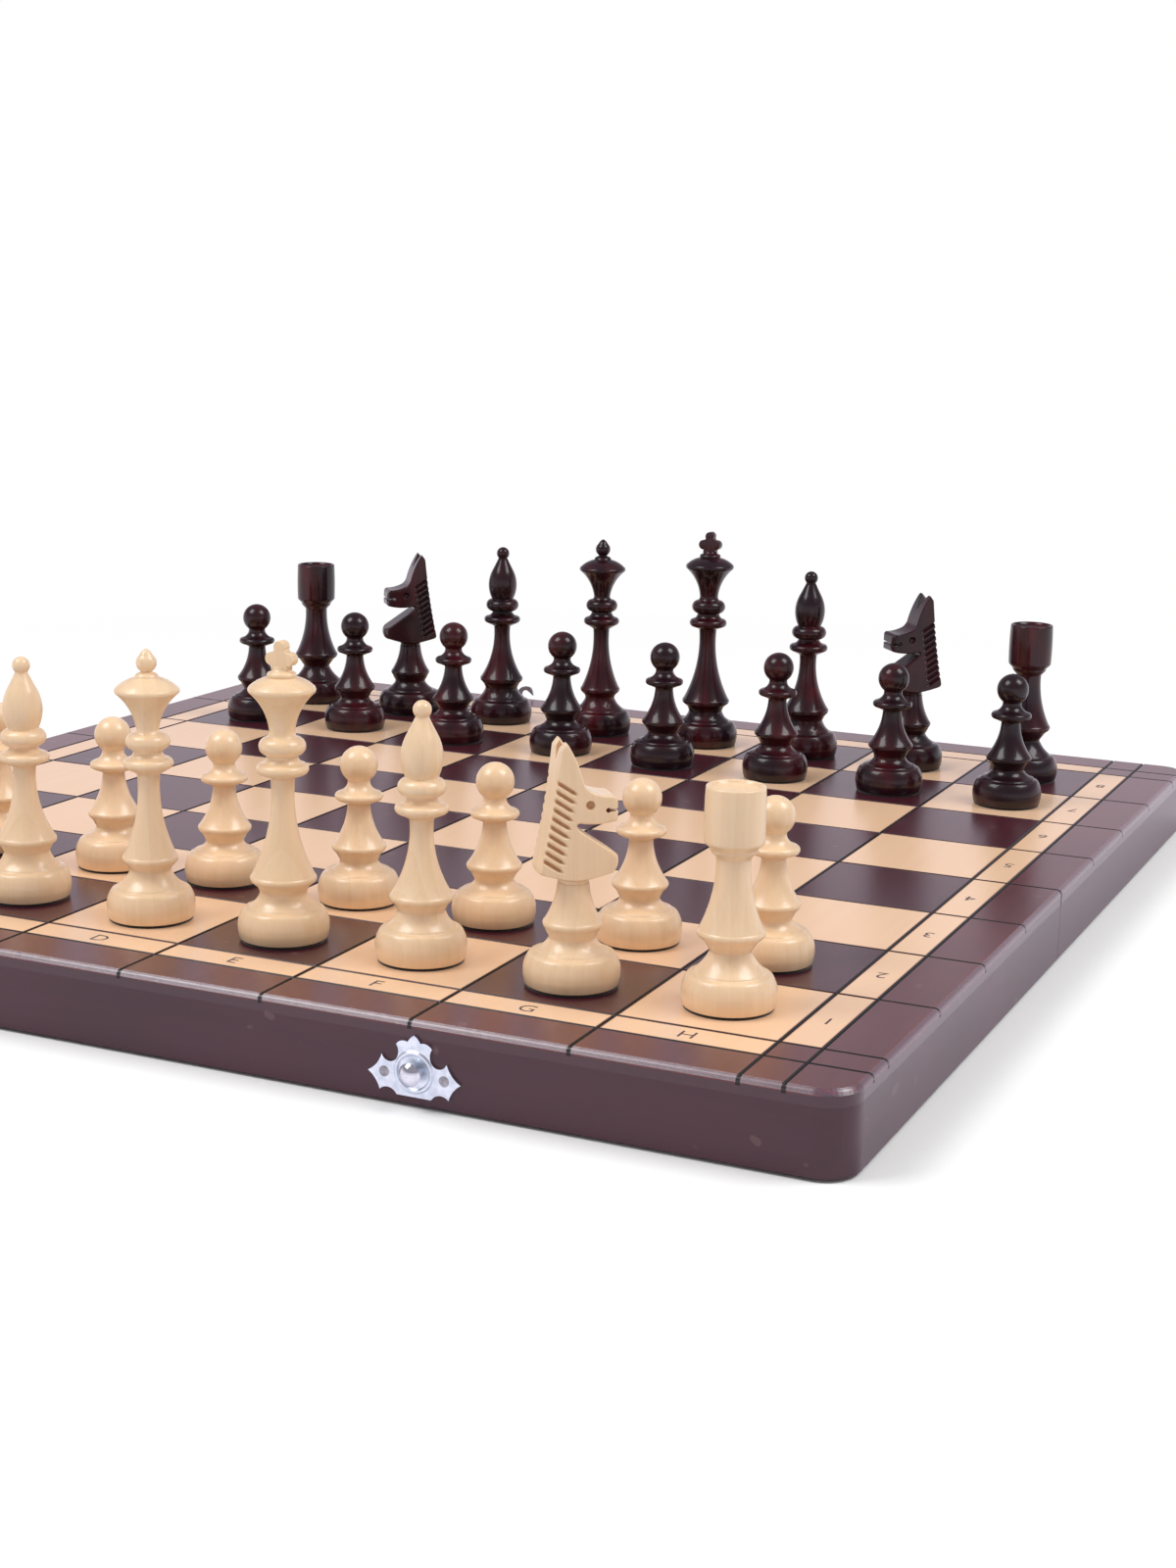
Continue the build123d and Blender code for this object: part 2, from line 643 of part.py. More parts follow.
def place_men():
    men = {kind: make_man(kind) for kind in OUTLINES}
    for colour, rank, kinds, offsets, facing in ROWS:
        for n, (kind, (dx, dy)) in enumerate(zip(kinds, offsets)):
            x = (n - 3.5) * SQUARE + dx
            y = (rank - 4.5) * SQUARE + dy
            turn = facing if kind == "knight" else 0.0
            spot = Location((x, y, BOARD_TOP), (0, 0, turn))
            name = f"{colour}_{kind}" if kind in SINGLE else f"{colour}_{kind}_{'abcdefgh'[n]}"
            save_group([solid.moved(spot) for solid in men[kind]], name)


make_half(NEAR, "near", "near_front_rail")
make_half(FAR, "far", "far_outer_rail")
make_leaves(NEAR, "hinge_leaves_near")
make_leaves(FAR, "hinge_leaves_far")
make_hinge_screws(NEAR, "hinge_screws_near")
make_hinge_screws(FAR, "hinge_screws_far")
make_hinge_pins("hinge_pins")
make_plates(NEAR, "stud_plates")
make_plates(FAR, "hook_plates")
make_nails(NEAR, "stud_plate_nails")
make_nails(FAR, "hook_plate_nails")
make_studs(NEAR, "latch_studs", STUD_R, 0.9)
make_studs(FAR, "hook_rivets", 3.2, 0.5)
make_hook("left", LATCH_X[0], "latch_hook_left")
make_hook("right", LATCH_X[1], "latch_hook_right")
place_men()
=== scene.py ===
# %% [markdown]
# # A folding wooden chess set
#
# The board is two shallow trays joined by hinges along the middle. Open, their backs make one playing
# surface. Shut, they make a case for the men, held by two small hooks on the outside.
#
# The engineer's model comes in first and stays where it is. It says where each part sits and what moves
# with what. This script gives the wood, felt and metal their finish, and turns and carves the chessmen
# again with the soft corners that sandpaper and lacquer leave.

# %% Load the frame
import math

import bmesh
import bpy
from mathutils import Matrix, Vector
from mathutils.bvhtree import BVHTree


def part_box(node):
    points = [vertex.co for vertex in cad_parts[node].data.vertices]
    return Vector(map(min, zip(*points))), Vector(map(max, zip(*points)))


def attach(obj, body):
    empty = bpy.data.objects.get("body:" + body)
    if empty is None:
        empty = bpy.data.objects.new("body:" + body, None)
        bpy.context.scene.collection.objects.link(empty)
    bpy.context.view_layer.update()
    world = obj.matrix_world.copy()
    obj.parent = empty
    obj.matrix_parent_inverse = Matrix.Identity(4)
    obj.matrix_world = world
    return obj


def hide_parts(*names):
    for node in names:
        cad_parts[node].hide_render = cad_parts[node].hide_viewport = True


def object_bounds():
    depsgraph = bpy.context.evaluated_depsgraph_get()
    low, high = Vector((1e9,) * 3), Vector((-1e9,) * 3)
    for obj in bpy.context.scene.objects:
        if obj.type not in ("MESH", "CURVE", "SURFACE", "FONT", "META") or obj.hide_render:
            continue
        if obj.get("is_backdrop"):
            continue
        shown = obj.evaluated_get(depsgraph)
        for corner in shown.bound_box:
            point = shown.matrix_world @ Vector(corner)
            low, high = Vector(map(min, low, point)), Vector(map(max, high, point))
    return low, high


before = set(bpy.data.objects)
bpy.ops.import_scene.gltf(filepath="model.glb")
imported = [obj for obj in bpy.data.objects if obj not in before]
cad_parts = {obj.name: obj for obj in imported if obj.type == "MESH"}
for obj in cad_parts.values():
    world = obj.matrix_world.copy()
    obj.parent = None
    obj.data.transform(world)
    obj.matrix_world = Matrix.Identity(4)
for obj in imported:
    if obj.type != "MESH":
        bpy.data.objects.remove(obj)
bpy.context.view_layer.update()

# %% Sizes that several steps share, in metres
MM = 0.001
SQUARE = 50 * MM
FIELD = 4 * SQUARE  # from the middle of the board to the edge of the squares
STRIP_LINE = FIELD + 13 * MM  # outer groove, round the strip with the letters
EDGE = FIELD + 32 * MM
BOARD_TOP = 26.2 * MM
TOP_ROUND = 1.7 * MM  # radius of the panel's rounded rim
MIDDLE = Vector((0.01684, 0.07151, BOARD_TOP))  # the point of the board that the camera looks at
print("board", 2 * EDGE, "m square,", BOARD_TOP, "m high")


# %% Helpers for objects
def placed(name, data):
    """A new object in the scene, at the origin."""
    made = bpy.data.objects.new(name, data)
    bpy.context.scene.collection.objects.link(made)
    return made


def as_mesh(thing):
    """A plain mesh of an object, as its modifiers leave it."""
    view = bpy.context.evaluated_depsgraph_get()
    return bpy.data.meshes.new_from_object(thing.evaluated_get(view))


def give(finish, *nodes):
    """Puts a finish on parts of the engineer's model."""
    for node in nodes:
        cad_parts[node].material_slots[0].material = finish


print("object helpers ready")

# %% [markdown]
# ## Camera
#
# The picture is taken from the right-hand corner of White's side, a little above the board. A camera in
# Blender looks along its own minus Z, so one quaternion turns it to the point it looks at, and a small
# turn about its own Z gives the slight tilt of a hand-held shot.

# %% Camera
EYE = Vector((0.40692, -0.78990, 0.23889))
TILT = math.radians(1.196)
LENS = 53.756  # millimetres, for a sensor 36 mm high

lens = bpy.data.cameras.new("camera")
lens.sensor_fit = "VERTICAL"
lens.sensor_height = 36
lens.lens = LENS
camera = placed("camera", lens)
aim = (MIDDLE - EYE).to_track_quat("-Z", "Y").to_matrix() @ Matrix.Rotation(TILT, 3, "Z")
camera.matrix_world = Matrix.LocRotScale(EYE, aim, None)
bpy.context.scene.camera = camera
bpy.context.scene.view_settings.view_transform = "Standard"
print("camera looks at", tuple(MIDDLE), "from", round((MIDDLE - EYE).length, 3), "m")

# %% [markdown]
# ## Building node trees by hand
#
# Every finish here is a small network of nodes, and so is every Geometry Nodes tree. A few helpers keep
# them readable. `add` makes a node, sets its options, and gives each input either a number or a wire
# from another node. `calc` is one step of arithmetic, `mixed` blends two colours, and `ramp` stretches
# one range of numbers over another.


# %% Helpers for node trees
def plug(tree, node, inputs):
    """Gives each input of a node its value, or a wire from another node's output."""
    for socket, value in inputs.items():
        if isinstance(value, bpy.types.NodeSocket):
            tree.links.new(value, node.inputs[socket])
        else:
            node.inputs[socket].default_value = value


def add(tree, kind, inputs=None, **settings):
    """Adds a node with its options and inputs."""
    made = tree.nodes.new(kind)
    for option, value in settings.items():
        setattr(made, option, value)
    plug(tree, made, inputs or {})
    return made


def calc(tree, operation, *values):
    """One step of arithmetic on numbers or wires."""
    return add(tree, "ShaderNodeMath", dict(enumerate(values)), operation=operation).outputs[0]


def mixed(tree, amount, first, second):
    """Blends two colours; amount runs from 0, the first, to 1, the second."""
    return add(tree, "ShaderNodeMix", {0: amount, 6: first, 7: second}, data_type="RGBA").outputs[2]


def ramp(tree, value, low, high, start=0.0, end=1.0):
    """Stretches value so that low becomes start and high becomes end, and stops there."""
    inputs = {"Value": value, "From Min": low, "From Max": high, "To Min": start, "To Max": end}
    return add(tree, "ShaderNodeMapRange", inputs).outputs[0]


def noise(tree, spot, scale, stretch=(1, 1, 1), detail=2.0):
    """Soft random pattern; a small stretch on an axis draws it out into grain along that axis."""
    stretched = add(tree, "ShaderNodeMapping", {"Vector": spot, "Scale": stretch}).outputs[0]
    return add(tree, "ShaderNodeTexNoise", {"Vector": stretched, "Scale": scale, "Detail": detail}).outputs[0]


def tint(red, green, blue):
    """A colour as a screen shows it, 0 to 255, turned into the linear light that shaders work in."""
    light = [c / 255 / 12.92 if c < 10.3 else ((c / 255 + 0.055) / 1.055) ** 2.4 for c in (red, green, blue)]
    return (*light, 1.0)


def start_finish(name):
    """A new material: gives it, its tree, its main shader, and the object's own coordinates."""
    finish = bpy.data.materials.new(name)
    finish.use_nodes = True
    tree = finish.node_tree
    tree.nodes.clear()
    shader = add(tree, "ShaderNodeBsdfPrincipled")
    add(tree, "ShaderNodeOutputMaterial", {"Surface": shader.outputs[0]})
    spot = add(tree, "ShaderNodeTexCoord").outputs["Object"]
    return finish, tree, shader, spot


def dress(tree, shader, colour, roughness, height=None, depth=0.0):
    """Wires colour, roughness and, where there is one, a relief pattern into the shader."""
    plug(tree, shader, {"Base Color": colour, "Roughness": roughness})
    if height is not None:
        relief = add(tree, "ShaderNodeBump", {"Height": height, "Distance": depth, "Strength": 1.0})
        tree.links.new(relief.outputs[0], shader.inputs["Normal"])


print("helpers ready")

# %% [markdown]
# ## Wood of the chessmen
#
# Each man is turned from its own billet of hornbeam, so no two show the same figure. The men of one
# colour share a material, and it has to give each its own wood. The trick is the board itself: dividing
# a man's position by the size of a square and rounding down gives every square its own whole numbers,
# and the White Noise node turns those into an offset, a turn and a shade that differ on each square.
#
# Growth rings are a Wave texture seen edge-on, drawn out along the height. Fine fibres are stretched
# noise. The dark men have the same wood under a nearly black red-brown stain, which is thinner in places.
# The pale wood is painted browner in the knights' cuts, as the shade that falls there, where a number
# stored on the mesh, `cut`, says how deep the knife went.


# %% Woods of the men
MOST_TURN = (0.08, 0.08, 6.28)  # radians: a billet leans a little, and faces any way


def billet(tree, spot):
    """Gives a man's own random colour, and a position inside the billet it was cut from."""
    x, y = add(tree, "ShaderNodeSeparateXYZ", {0: spot}).outputs[:2]
    column = calc(tree, "FLOOR", calc(tree, "DIVIDE", x, SQUARE))
    row = calc(tree, "FLOOR", calc(tree, "DIVIDE", y, SQUARE))
    square = add(tree, "ShaderNodeCombineXYZ", {0: column, 1: row}).outputs[0]
    chance = add(tree, "ShaderNodeTexWhiteNoise", {"Vector": square}).outputs["Color"]
    turn = add(tree, "ShaderNodeVectorMath", {0: chance, 1: MOST_TURN}, operation="MULTIPLY")
    inside = add(tree, "ShaderNodeMapping", {"Vector": spot, "Location": chance, "Rotation": turn.outputs[0]})
    return add(tree, "ShaderNodeSeparateColor", {0: chance}), inside.outputs[0]


def growth_rings(tree, inside, spacing):
    """Growth rings cut lengthwise, about as far apart as spacing says, in metres."""
    drawn_out = add(tree, "ShaderNodeMapping", {"Vector": inside, "Scale": (1, 1, 0.1)}).outputs[0]
    inputs = {"Vector": drawn_out, "Scale": 0.314 / spacing}  # at scale 1 a ring is 0.314 wide
    inputs |= {"Distortion": 3.0, "Detail": 2.0, "Detail Scale": 0.5}
    return add(tree, "ShaderNodeTexWave", inputs, wave_profile="SAW").outputs[1]


def make_light_wood():
    finish, tree, shader, spot = start_finish("pale_hornbeam")
    chance, inside = billet(tree, spot)
    rings = growth_rings(tree, inside, 0.0042)
    fibres = noise(tree, inside, 900, (1, 1, 0.04), 4.0)
    clouds = noise(tree, inside, 60, (1, 1, 0.25))
    wood = mixed(tree, calc(tree, "MULTIPLY", rings, 0.28), tint(248, 218, 182), tint(232, 190, 144))
    wood = mixed(tree, ramp(tree, fibres, 0.45, 0.75, 0, 0.16), wood, tint(212, 166, 118))
    wood = mixed(tree, ramp(tree, clouds, 0.35, 0.7, 0, 0.35), wood, tint(250, 216, 178))
    wood = mixed(tree, calc(tree, "MULTIPLY", chance.outputs[1], 0.3), wood, tint(236, 198, 152))
    # Painted shade: the deeper a point lies in the knight's cuts, the browner the pale wood.
    cut = add(tree, "ShaderNodeAttribute", attribute_name="cut").outputs["Fac"]
    wood = mixed(tree, calc(tree, "MULTIPLY", cut, 0.75), wood, tint(176, 112, 58))
    tool_marks = noise(tree, spot, 300, (0.15, 0.15, 1.6))
    dress(tree, shader, wood, ramp(tree, fibres, 0.3, 0.8, 0.34, 0.4), tool_marks, 0.01 * MM)
    shader.inputs["Coat Weight"].default_value = 0.5
    shader.inputs["Coat Roughness"].default_value = 0.18
    shader.inputs["Subsurface Weight"].default_value = 0.08
    shader.inputs["Subsurface Radius"].default_value = (0.9, 0.5, 0.25)
    shader.inputs["Subsurface Scale"].default_value = 3 * MM
    return finish


def make_dark_wood():
    finish, tree, shader, spot = start_finish("dark_stained_hornbeam")
    chance, inside = billet(tree, spot)
    rings = growth_rings(tree, inside, 0.0035)
    fibres = noise(tree, inside, 700, (1, 1, 0.05), 4.0)
    clouds = noise(tree, inside, 70, (1, 1, 0.4))
    thin = calc(tree, "MULTIPLY", ramp(tree, clouds, 0.42, 0.68), ramp(tree, rings, 0, 1, 0.45, 1))
    stain = mixed(tree, thin, tint(30, 8, 18), tint(86, 14, 22))
    stain = mixed(tree, ramp(tree, fibres, 0.45, 0.75, 0, 0.3), stain, tint(24, 9, 13))
    stain = mixed(tree, calc(tree, "MULTIPLY", chance.outputs[0], 0.5), stain, tint(30, 12, 18))
    tool_marks = noise(tree, spot, 200, (0.15, 0.15, 1.0), 1.0)
    dress(tree, shader, stain, 0.34, tool_marks, 0.01 * MM)
    shader.inputs["Specular IOR Level"].default_value = 0.2
    shader.inputs["Coat Weight"].default_value = 0.45
    shader.inputs["Coat Roughness"].default_value = 0.11
    return finish


light_wood = make_light_wood()
dark_wood = make_dark_wood()
print("men's woods:", light_wood.name, dark_wood.name)

# %% [markdown]
# ## The playing surface
#
# A board like this is one sheet of maple with its dark squares stained through a stencil. Grooves are
# burnt along every line, which also stops the stain from creeping. One material can do all of it,
# because Object coordinates tell it where it is on the board. The Checker node gives the squares, and
# Ping-Pong gives the distance to the nearest line of the grid. The strips for letters and numbers stay
# pale, and everything outside them is stained, corners too.


# %% Stain of the board
SQUARE_STAIN = tint(78, 30, 42)
BORDER_STAIN = tint(102, 48, 54)
WALL_STAIN = tint(74, 32, 46)
NEAR_BLACK = tint(16, 9, 11)
CORNER_ROUND = 11 * MM  # radius of the board's four corners, seen from above
CORNER_SIDE = EDGE - CORNER_ROUND  # where a rounded corner starts


def between(tree, value, low, high):
    """1 where low < value < high, and 0 elsewhere."""
    above = calc(tree, "GREATER_THAN", value, low)
    return calc(tree, "MULTIPLY", above, calc(tree, "LESS_THAN", value, high))


def stained(tree, spot, fibres, stain):
    """Stain over the grain, with cloudy patches and a few specks of dust under the lacquer."""
    clouds = noise(tree, spot, 14)
    shade = calc(tree, "ADD", ramp(tree, fibres, 0.4, 0.75, 0, 0.12), ramp(tree, clouds, 0.35, 0.7, 0, 0.28))
    colour = mixed(tree, shade, stain, NEAR_BLACK)
    specks = ramp(tree, noise(tree, spot, 170, detail=0.0), 0.83, 0.86, 0, 0.2)
    return mixed(tree, specks, colour, tint(150, 120, 120))


def line_distances(tree, x, y, ax, ay):
    """How far a point is from the nearest groove along y, and from the nearest one along x."""
    found = []
    for place, size in ((x, ax), (y, ay)):
        to_grid = calc(tree, "PINGPONG", place, SQUARE / 2)
        to_strip = calc(tree, "ABSOLUTE", calc(tree, "SUBTRACT", size, STRIP_LINE))
        found.append(calc(tree, "MINIMUM", to_grid, to_strip))
    return found


def rim_distances(tree, ax, ay, z):
    """How far a point of the panel is outside the rim's start, and how far above its foot."""
    over = [calc(tree, "MAXIMUM", calc(tree, "SUBTRACT", side, CORNER_SIDE), 0) for side in (ax, ay)]
    squares = calc(tree, "ADD", calc(tree, "POWER", over[0], 2), calc(tree, "POWER", over[1], 2))
    out = calc(tree, "SUBTRACT", calc(tree, "SQRT", squares), CORNER_ROUND - TOP_ROUND)
    return out, calc(tree, "SUBTRACT", z, BOARD_TOP - TOP_ROUND)


def worn_edges(tree, far_out, z, rough, on_top):
    """1 in the two ragged lines where the rounded rim begins and ends, and the stain is rubbed thin."""
    width = ramp(tree, rough, 0.3, 0.7, 0.1 * MM, 0.42 * MM)
    inner = calc(tree, "ABSOLUTE", calc(tree, "SUBTRACT", far_out, EDGE - TOP_ROUND))
    outer = calc(tree, "ABSOLUTE", calc(tree, "SUBTRACT", z, BOARD_TOP - TOP_ROUND))
    outside = calc(tree, "GREATER_THAN", far_out, EDGE - 0.3 * MM)
    worn_top = calc(tree, "MULTIPLY", calc(tree, "LESS_THAN", inner, width), on_top)
    worn_foot = calc(tree, "MULTIPLY", calc(tree, "LESS_THAN", outer, width), outside)
    return calc(tree, "MAXIMUM", worn_top, worn_foot)


print("board stains ready")

# %% [markdown]
# ## The panel
#
# The colour is built up in steps: bare maple, stain, stain that crept past the grooves, wear, a pale
# violet highlight painted on the rim, and the burnt grooves. The rim is a plain rounding, rubbed down
# to one flat bevel. A bump does that: its height follows the logarithm of the place across the bevel,
# which tips the shading of the arc until it is nearly flat. The rim's lacquer is thicker, and its two
# edges are worn red.


# %% The panel
RELIEF = 0.015 * MM
SANDED_FLAT = 0.95  # how far the bump turns the rounded rim into one flat bevel
BORDER_COAT = 0.45
STAIN_BLEED = 0.3 * MM
GROOVE_HALF = 0.68 * MM  # half the width of a burnt groove
PALE_DEPTH = 1.2 * MM  # below this the panel is stained all over
BURNT_DEPTH = 2.6 * MM
BURNT = tint(12, 5, 7)


def make_panel_finish():
    finish, tree, shader, spot = start_finish("board_panel")
    x, y, z = add(tree, "ShaderNodeSeparateXYZ", {0: spot}).outputs
    # One height for every point, because the Checker counts squares upwards too
    flat = add(tree, "ShaderNodeCombineXYZ", {0: x, 1: y, 2: 0.5 * SQUARE}).outputs[0]
    chequer = add(tree, "ShaderNodeTexChecker", {"Vector": flat, "Scale": 1 / SQUARE}).outputs["Fac"]
    ax, ay = calc(tree, "ABSOLUTE", x), calc(tree, "ABSOLUTE", y)
    far_out, near_in = calc(tree, "MAXIMUM", ax, ay), calc(tree, "MINIMUM", ax, ay)
    on_field = calc(tree, "LESS_THAN", far_out, FIELD)
    in_band = between(tree, far_out, FIELD, STRIP_LINE)
    on_strip = calc(tree, "MULTIPLY", in_band, calc(tree, "LESS_THAN", near_in, FIELD))
    on_top = calc(tree, "GREATER_THAN", z, BOARD_TOP - PALE_DEPTH)
    on_pale_square = calc(tree, "MULTIPLY", chequer, on_field)
    pale = calc(tree, "MULTIPLY", calc(tree, "ADD", on_pale_square, on_strip), on_top)

    fibres = noise(tree, spot, 330, (1, 0.025, 1), 4.0)
    flame = noise(tree, spot, 26, (1, 0.35, 1))
    maple = mixed(tree, ramp(tree, fibres, 0.42, 0.75, 0, 0.14), tint(248, 207, 170), tint(228, 176, 132))
    maple = mixed(tree, ramp(tree, flame, 0.35, 0.7, 0, 0.5), maple, tint(244, 200, 160))
    stain = mixed(tree, on_top, WALL_STAIN, mixed(tree, on_field, BORDER_STAIN, SQUARE_STAIN))
    colour = mixed(tree, pale, stained(tree, spot, fibres, stain), maple)

    along_y, along_x = line_distances(tree, x, y, ax, ay)
    grooved = calc(tree, "GREATER_THAN", z, BOARD_TOP - BURNT_DEPTH)
    burnt_y = calc(tree, "MULTIPLY", calc(tree, "LESS_THAN", along_y, GROOVE_HALF), grooved)
    burnt_x = calc(tree, "MULTIPLY", calc(tree, "LESS_THAN", along_x, GROOVE_HALF), grooved)
    nearest = calc(tree, "MINIMUM", along_x, along_y)
    crept = calc(tree, "MULTIPLY", calc(tree, "LESS_THAN", nearest, GROOVE_HALF + STAIN_BLEED), pale)
    colour = mixed(tree, calc(tree, "MULTIPLY", crept, 0.6), colour, tint(150, 66, 40))

    rough = noise(tree, spot, 600, detail=3.0)
    worn = worn_edges(tree, far_out, z, rough, on_top)
    colour = mixed(tree, calc(tree, "MULTIPLY", worn, 0.75), colour, tint(124, 40, 32))
    out, high = rim_distances(tree, ax, ay, z)
    on_rim = calc(tree, "MULTIPLY", calc(tree, "GREATER_THAN", out, 0), calc(tree, "GREATER_THAN", high, 0))
    # Painted highlight: the rim is tinted pale violet, standing in for the light it mirrors.
    colour = mixed(tree, calc(tree, "MULTIPLY", on_rim, 0.3), colour, tint(128, 112, 132))
    colour = mixed(tree, burnt_x, colour, mixed(tree, on_field, BURNT, tint(50, 20, 18)))
    colour = mixed(tree, burnt_y, colour, BURNT)

    burnt = calc(tree, "MAXIMUM", burnt_x, burnt_y)
    gloss = mixed(tree, on_rim, (0.29, 0.29, 0.29, 1), ramp(tree, rough, 0.3, 0.7, 0.2, 0.32))
    across = calc(tree, "DIVIDE", calc(tree, "ADD", out, high), TOP_ROUND * math.sqrt(2))
    steepness = -SANDED_FLAT * TOP_ROUND / RELIEF
    sanded = calc(tree, "MULTIPLY", calc(tree, "LOGARITHM", across, math.e), steepness)
    relief = mixed(tree, on_rim, calc(tree, "MULTIPLY", fibres, 0.15), calc(tree, "ADD", sanded, rough))
    dress(tree, shader, colour, mixed(tree, burnt, gloss, (0.9, 0.9, 0.9, 1)), relief, RELIEF)
    plug(tree, shader, {"Coat Weight": ramp(tree, on_rim, 0, 1, BORDER_COAT, 1)})
    shader.inputs["Coat Roughness"].default_value = 0.22
    return finish


give(make_panel_finish(), "near_panel", "far_panel")
print("panels dressed")


# %% The walls
def make_wall_finish(name, grain):
    """Stained rails; grain says how the fibres are drawn out on each axis."""
    finish, tree, shader, spot = start_finish(name)
    fibres = noise(tree, spot, 420, grain, 4.0)
    ripples = noise(tree, spot, 30, (1, 1, 2))
    height = calc(tree, "ADD", fibres, calc(tree, "MULTIPLY", ripples, 3.0))
    dress(tree, shader, stained(tree, spot, fibres, WALL_STAIN), 0.3, height, 0.02 * MM)
    shader.inputs["Coat Weight"].default_value = 0.12
    return finish


lengthwise = make_wall_finish("board_wall_lengthwise", (0.03, 1, 0.6))
crosswise = make_wall_finish("board_wall_crosswise", (1, 0.03, 0.6))
give(lengthwise, "near_front_rail", "near_hinge_rail", "far_outer_rail", "far_hinge_rail")
give(crosswise, "near_left_rail", "near_right_rail", "far_left_rail", "far_right_rail")
print("walls dressed")

# %% [markdown]
# ## Felt
#
# Felt is pressed wool: it has no weave, only a tangle of fibres at every size. Layers of noise on the
# colour and the relief show that, and the shader's sheen gives the soft pale edge that wool has.


# %% Felts
def make_felt(name, deep, bright):
    finish, tree, shader, spot = start_finish(name)
    tangle = noise(tree, spot, 1400, detail=5.0)
    patches = noise(tree, spot, 90)
    colour = mixed(tree, ramp(tree, tangle, 0.3, 0.7), deep, bright)
    colour = mixed(tree, ramp(tree, patches, 0.4, 0.7, 0, 0.3), colour, deep)
    dress(tree, shader, colour, 0.95, tangle, 0.25 * MM)
    shader.inputs["Sheen Weight"].default_value = 0.35
    shader.inputs["Sheen Roughness"].default_value = 0.5
    return finish


lining_felt = make_felt("lining_felt", tint(18, 52, 34), tint(38, 84, 58))
base_felt = make_felt("base_felt", tint(16, 15, 16), tint(38, 36, 37))
give(lining_felt, "near_felt_lining", "far_felt_lining")
print("felts:", lining_felt.name, base_felt.name)

# %% [markdown]
# ## Metal
#
# The latch plates are thin zinc-plated steel. Zinc sets in pale, slightly blue patches, and a stamped
# plate has tiny dents, so both the colour and the gloss wander a little. The ball studs are polished,
# and the hinges are plain plated steel with fine scratches from the wrapping and the screwdriver.


# %% Metals
def make_metal(name, bright, dull, smooth, coarse, dents):
    finish, tree, shader, spot = start_finish(name)
    patches = noise(tree, spot, 450, detail=3.0)
    scratches = noise(tree, spot, 1500, (0.06, 1, 1))
    colour = mixed(tree, ramp(tree, patches, 0.35, 0.68), bright, dull)
    haze = ramp(tree, patches, 0.3, 0.7, smooth, coarse)
    roughness = calc(tree, "ADD", haze, ramp(tree, scratches, 0.6, 0.7, 0, 0.1))
    height = calc(tree, "ADD", patches, calc(tree, "MULTIPLY", scratches, 0.3))
    dress(tree, shader, colour, roughness, height, dents)
    shader.inputs["Metallic"].default_value = 1.0
    return finish


zinc = make_metal("zinc_plate", tint(230, 238, 246), tint(208, 218, 230), 0.28, 0.38, 0.03 * MM)
nail_steel = make_metal("nail_steel", tint(190, 190, 194), tint(150, 148, 152), 0.35, 0.5, 0.12 * MM)
polished = make_metal("polished_stud", tint(232, 234, 240), tint(214, 218, 226), 0.07, 0.16, 0.01 * MM)
hinge_steel = make_metal("hinge_steel", tint(206, 206, 210), tint(178, 178, 184), 0.2, 0.36, 0.04 * MM)
give(zinc, "stud_plates", "hook_plates", "latch_hook_left", "latch_hook_right", "hook_rivets")
give(nail_steel, "stud_plate_nails", "hook_plate_nails")
give(polished, "latch_studs")
give(hinge_steel, "hinge_leaves_near", "hinge_screws_near", "hinge_leaves_far", "hinge_screws_far")
give(hinge_steel, "hinge_pins")
print("metals:", zinc.name, nail_steel.name, polished.name, hinge_steel.name)

# %% [markdown]
# ## Turning the men
#
# A turner cuts a profile while the wood spins. Geometry Nodes can do the same by rule: a grid has one
# column for each point of the profile and one row for each facet round the axis. Each vertex looks up
# its profile point with Sample Index and is moved round the axis by its own angle. Merge by Distance
# then closes the seam and the poles.
#
# This way was chosen over the Screw modifier or Spin because one tree, with the profile as its input,
# turns every kind of man and its felt disc, and the number of facets is one number.


# %% The lathe
def start_tree(name, **inputs):
    """A new Geometry Nodes tree, with its inputs by name and kind: gives it, and those inputs."""
    tree = bpy.data.node_groups.new(name, "GeometryNodeTree")
    tree.is_modifier = True
    for label, kind in inputs.items():
        tree.interface.new_socket(label, in_out="INPUT", socket_type=f"NodeSocket{kind}")
    tree.interface.new_socket("Made", in_out="OUTPUT", socket_type="NodeSocketGeometry")
    return tree, add(tree, "NodeGroupInput").outputs


def finish_tree(tree, shape, finish):
    """Makes real mesh of any instances, gives it its material, and sends it out of the tree."""
    whole = add(tree, "GeometryNodeRealizeInstances", {"Geometry": shape}).outputs[0]
    dressed = add(tree, "GeometryNodeSetMaterial", {"Geometry": whole, "Material": finish}).outputs[0]
    add(tree, "NodeGroupOutput", {"Made": dressed})


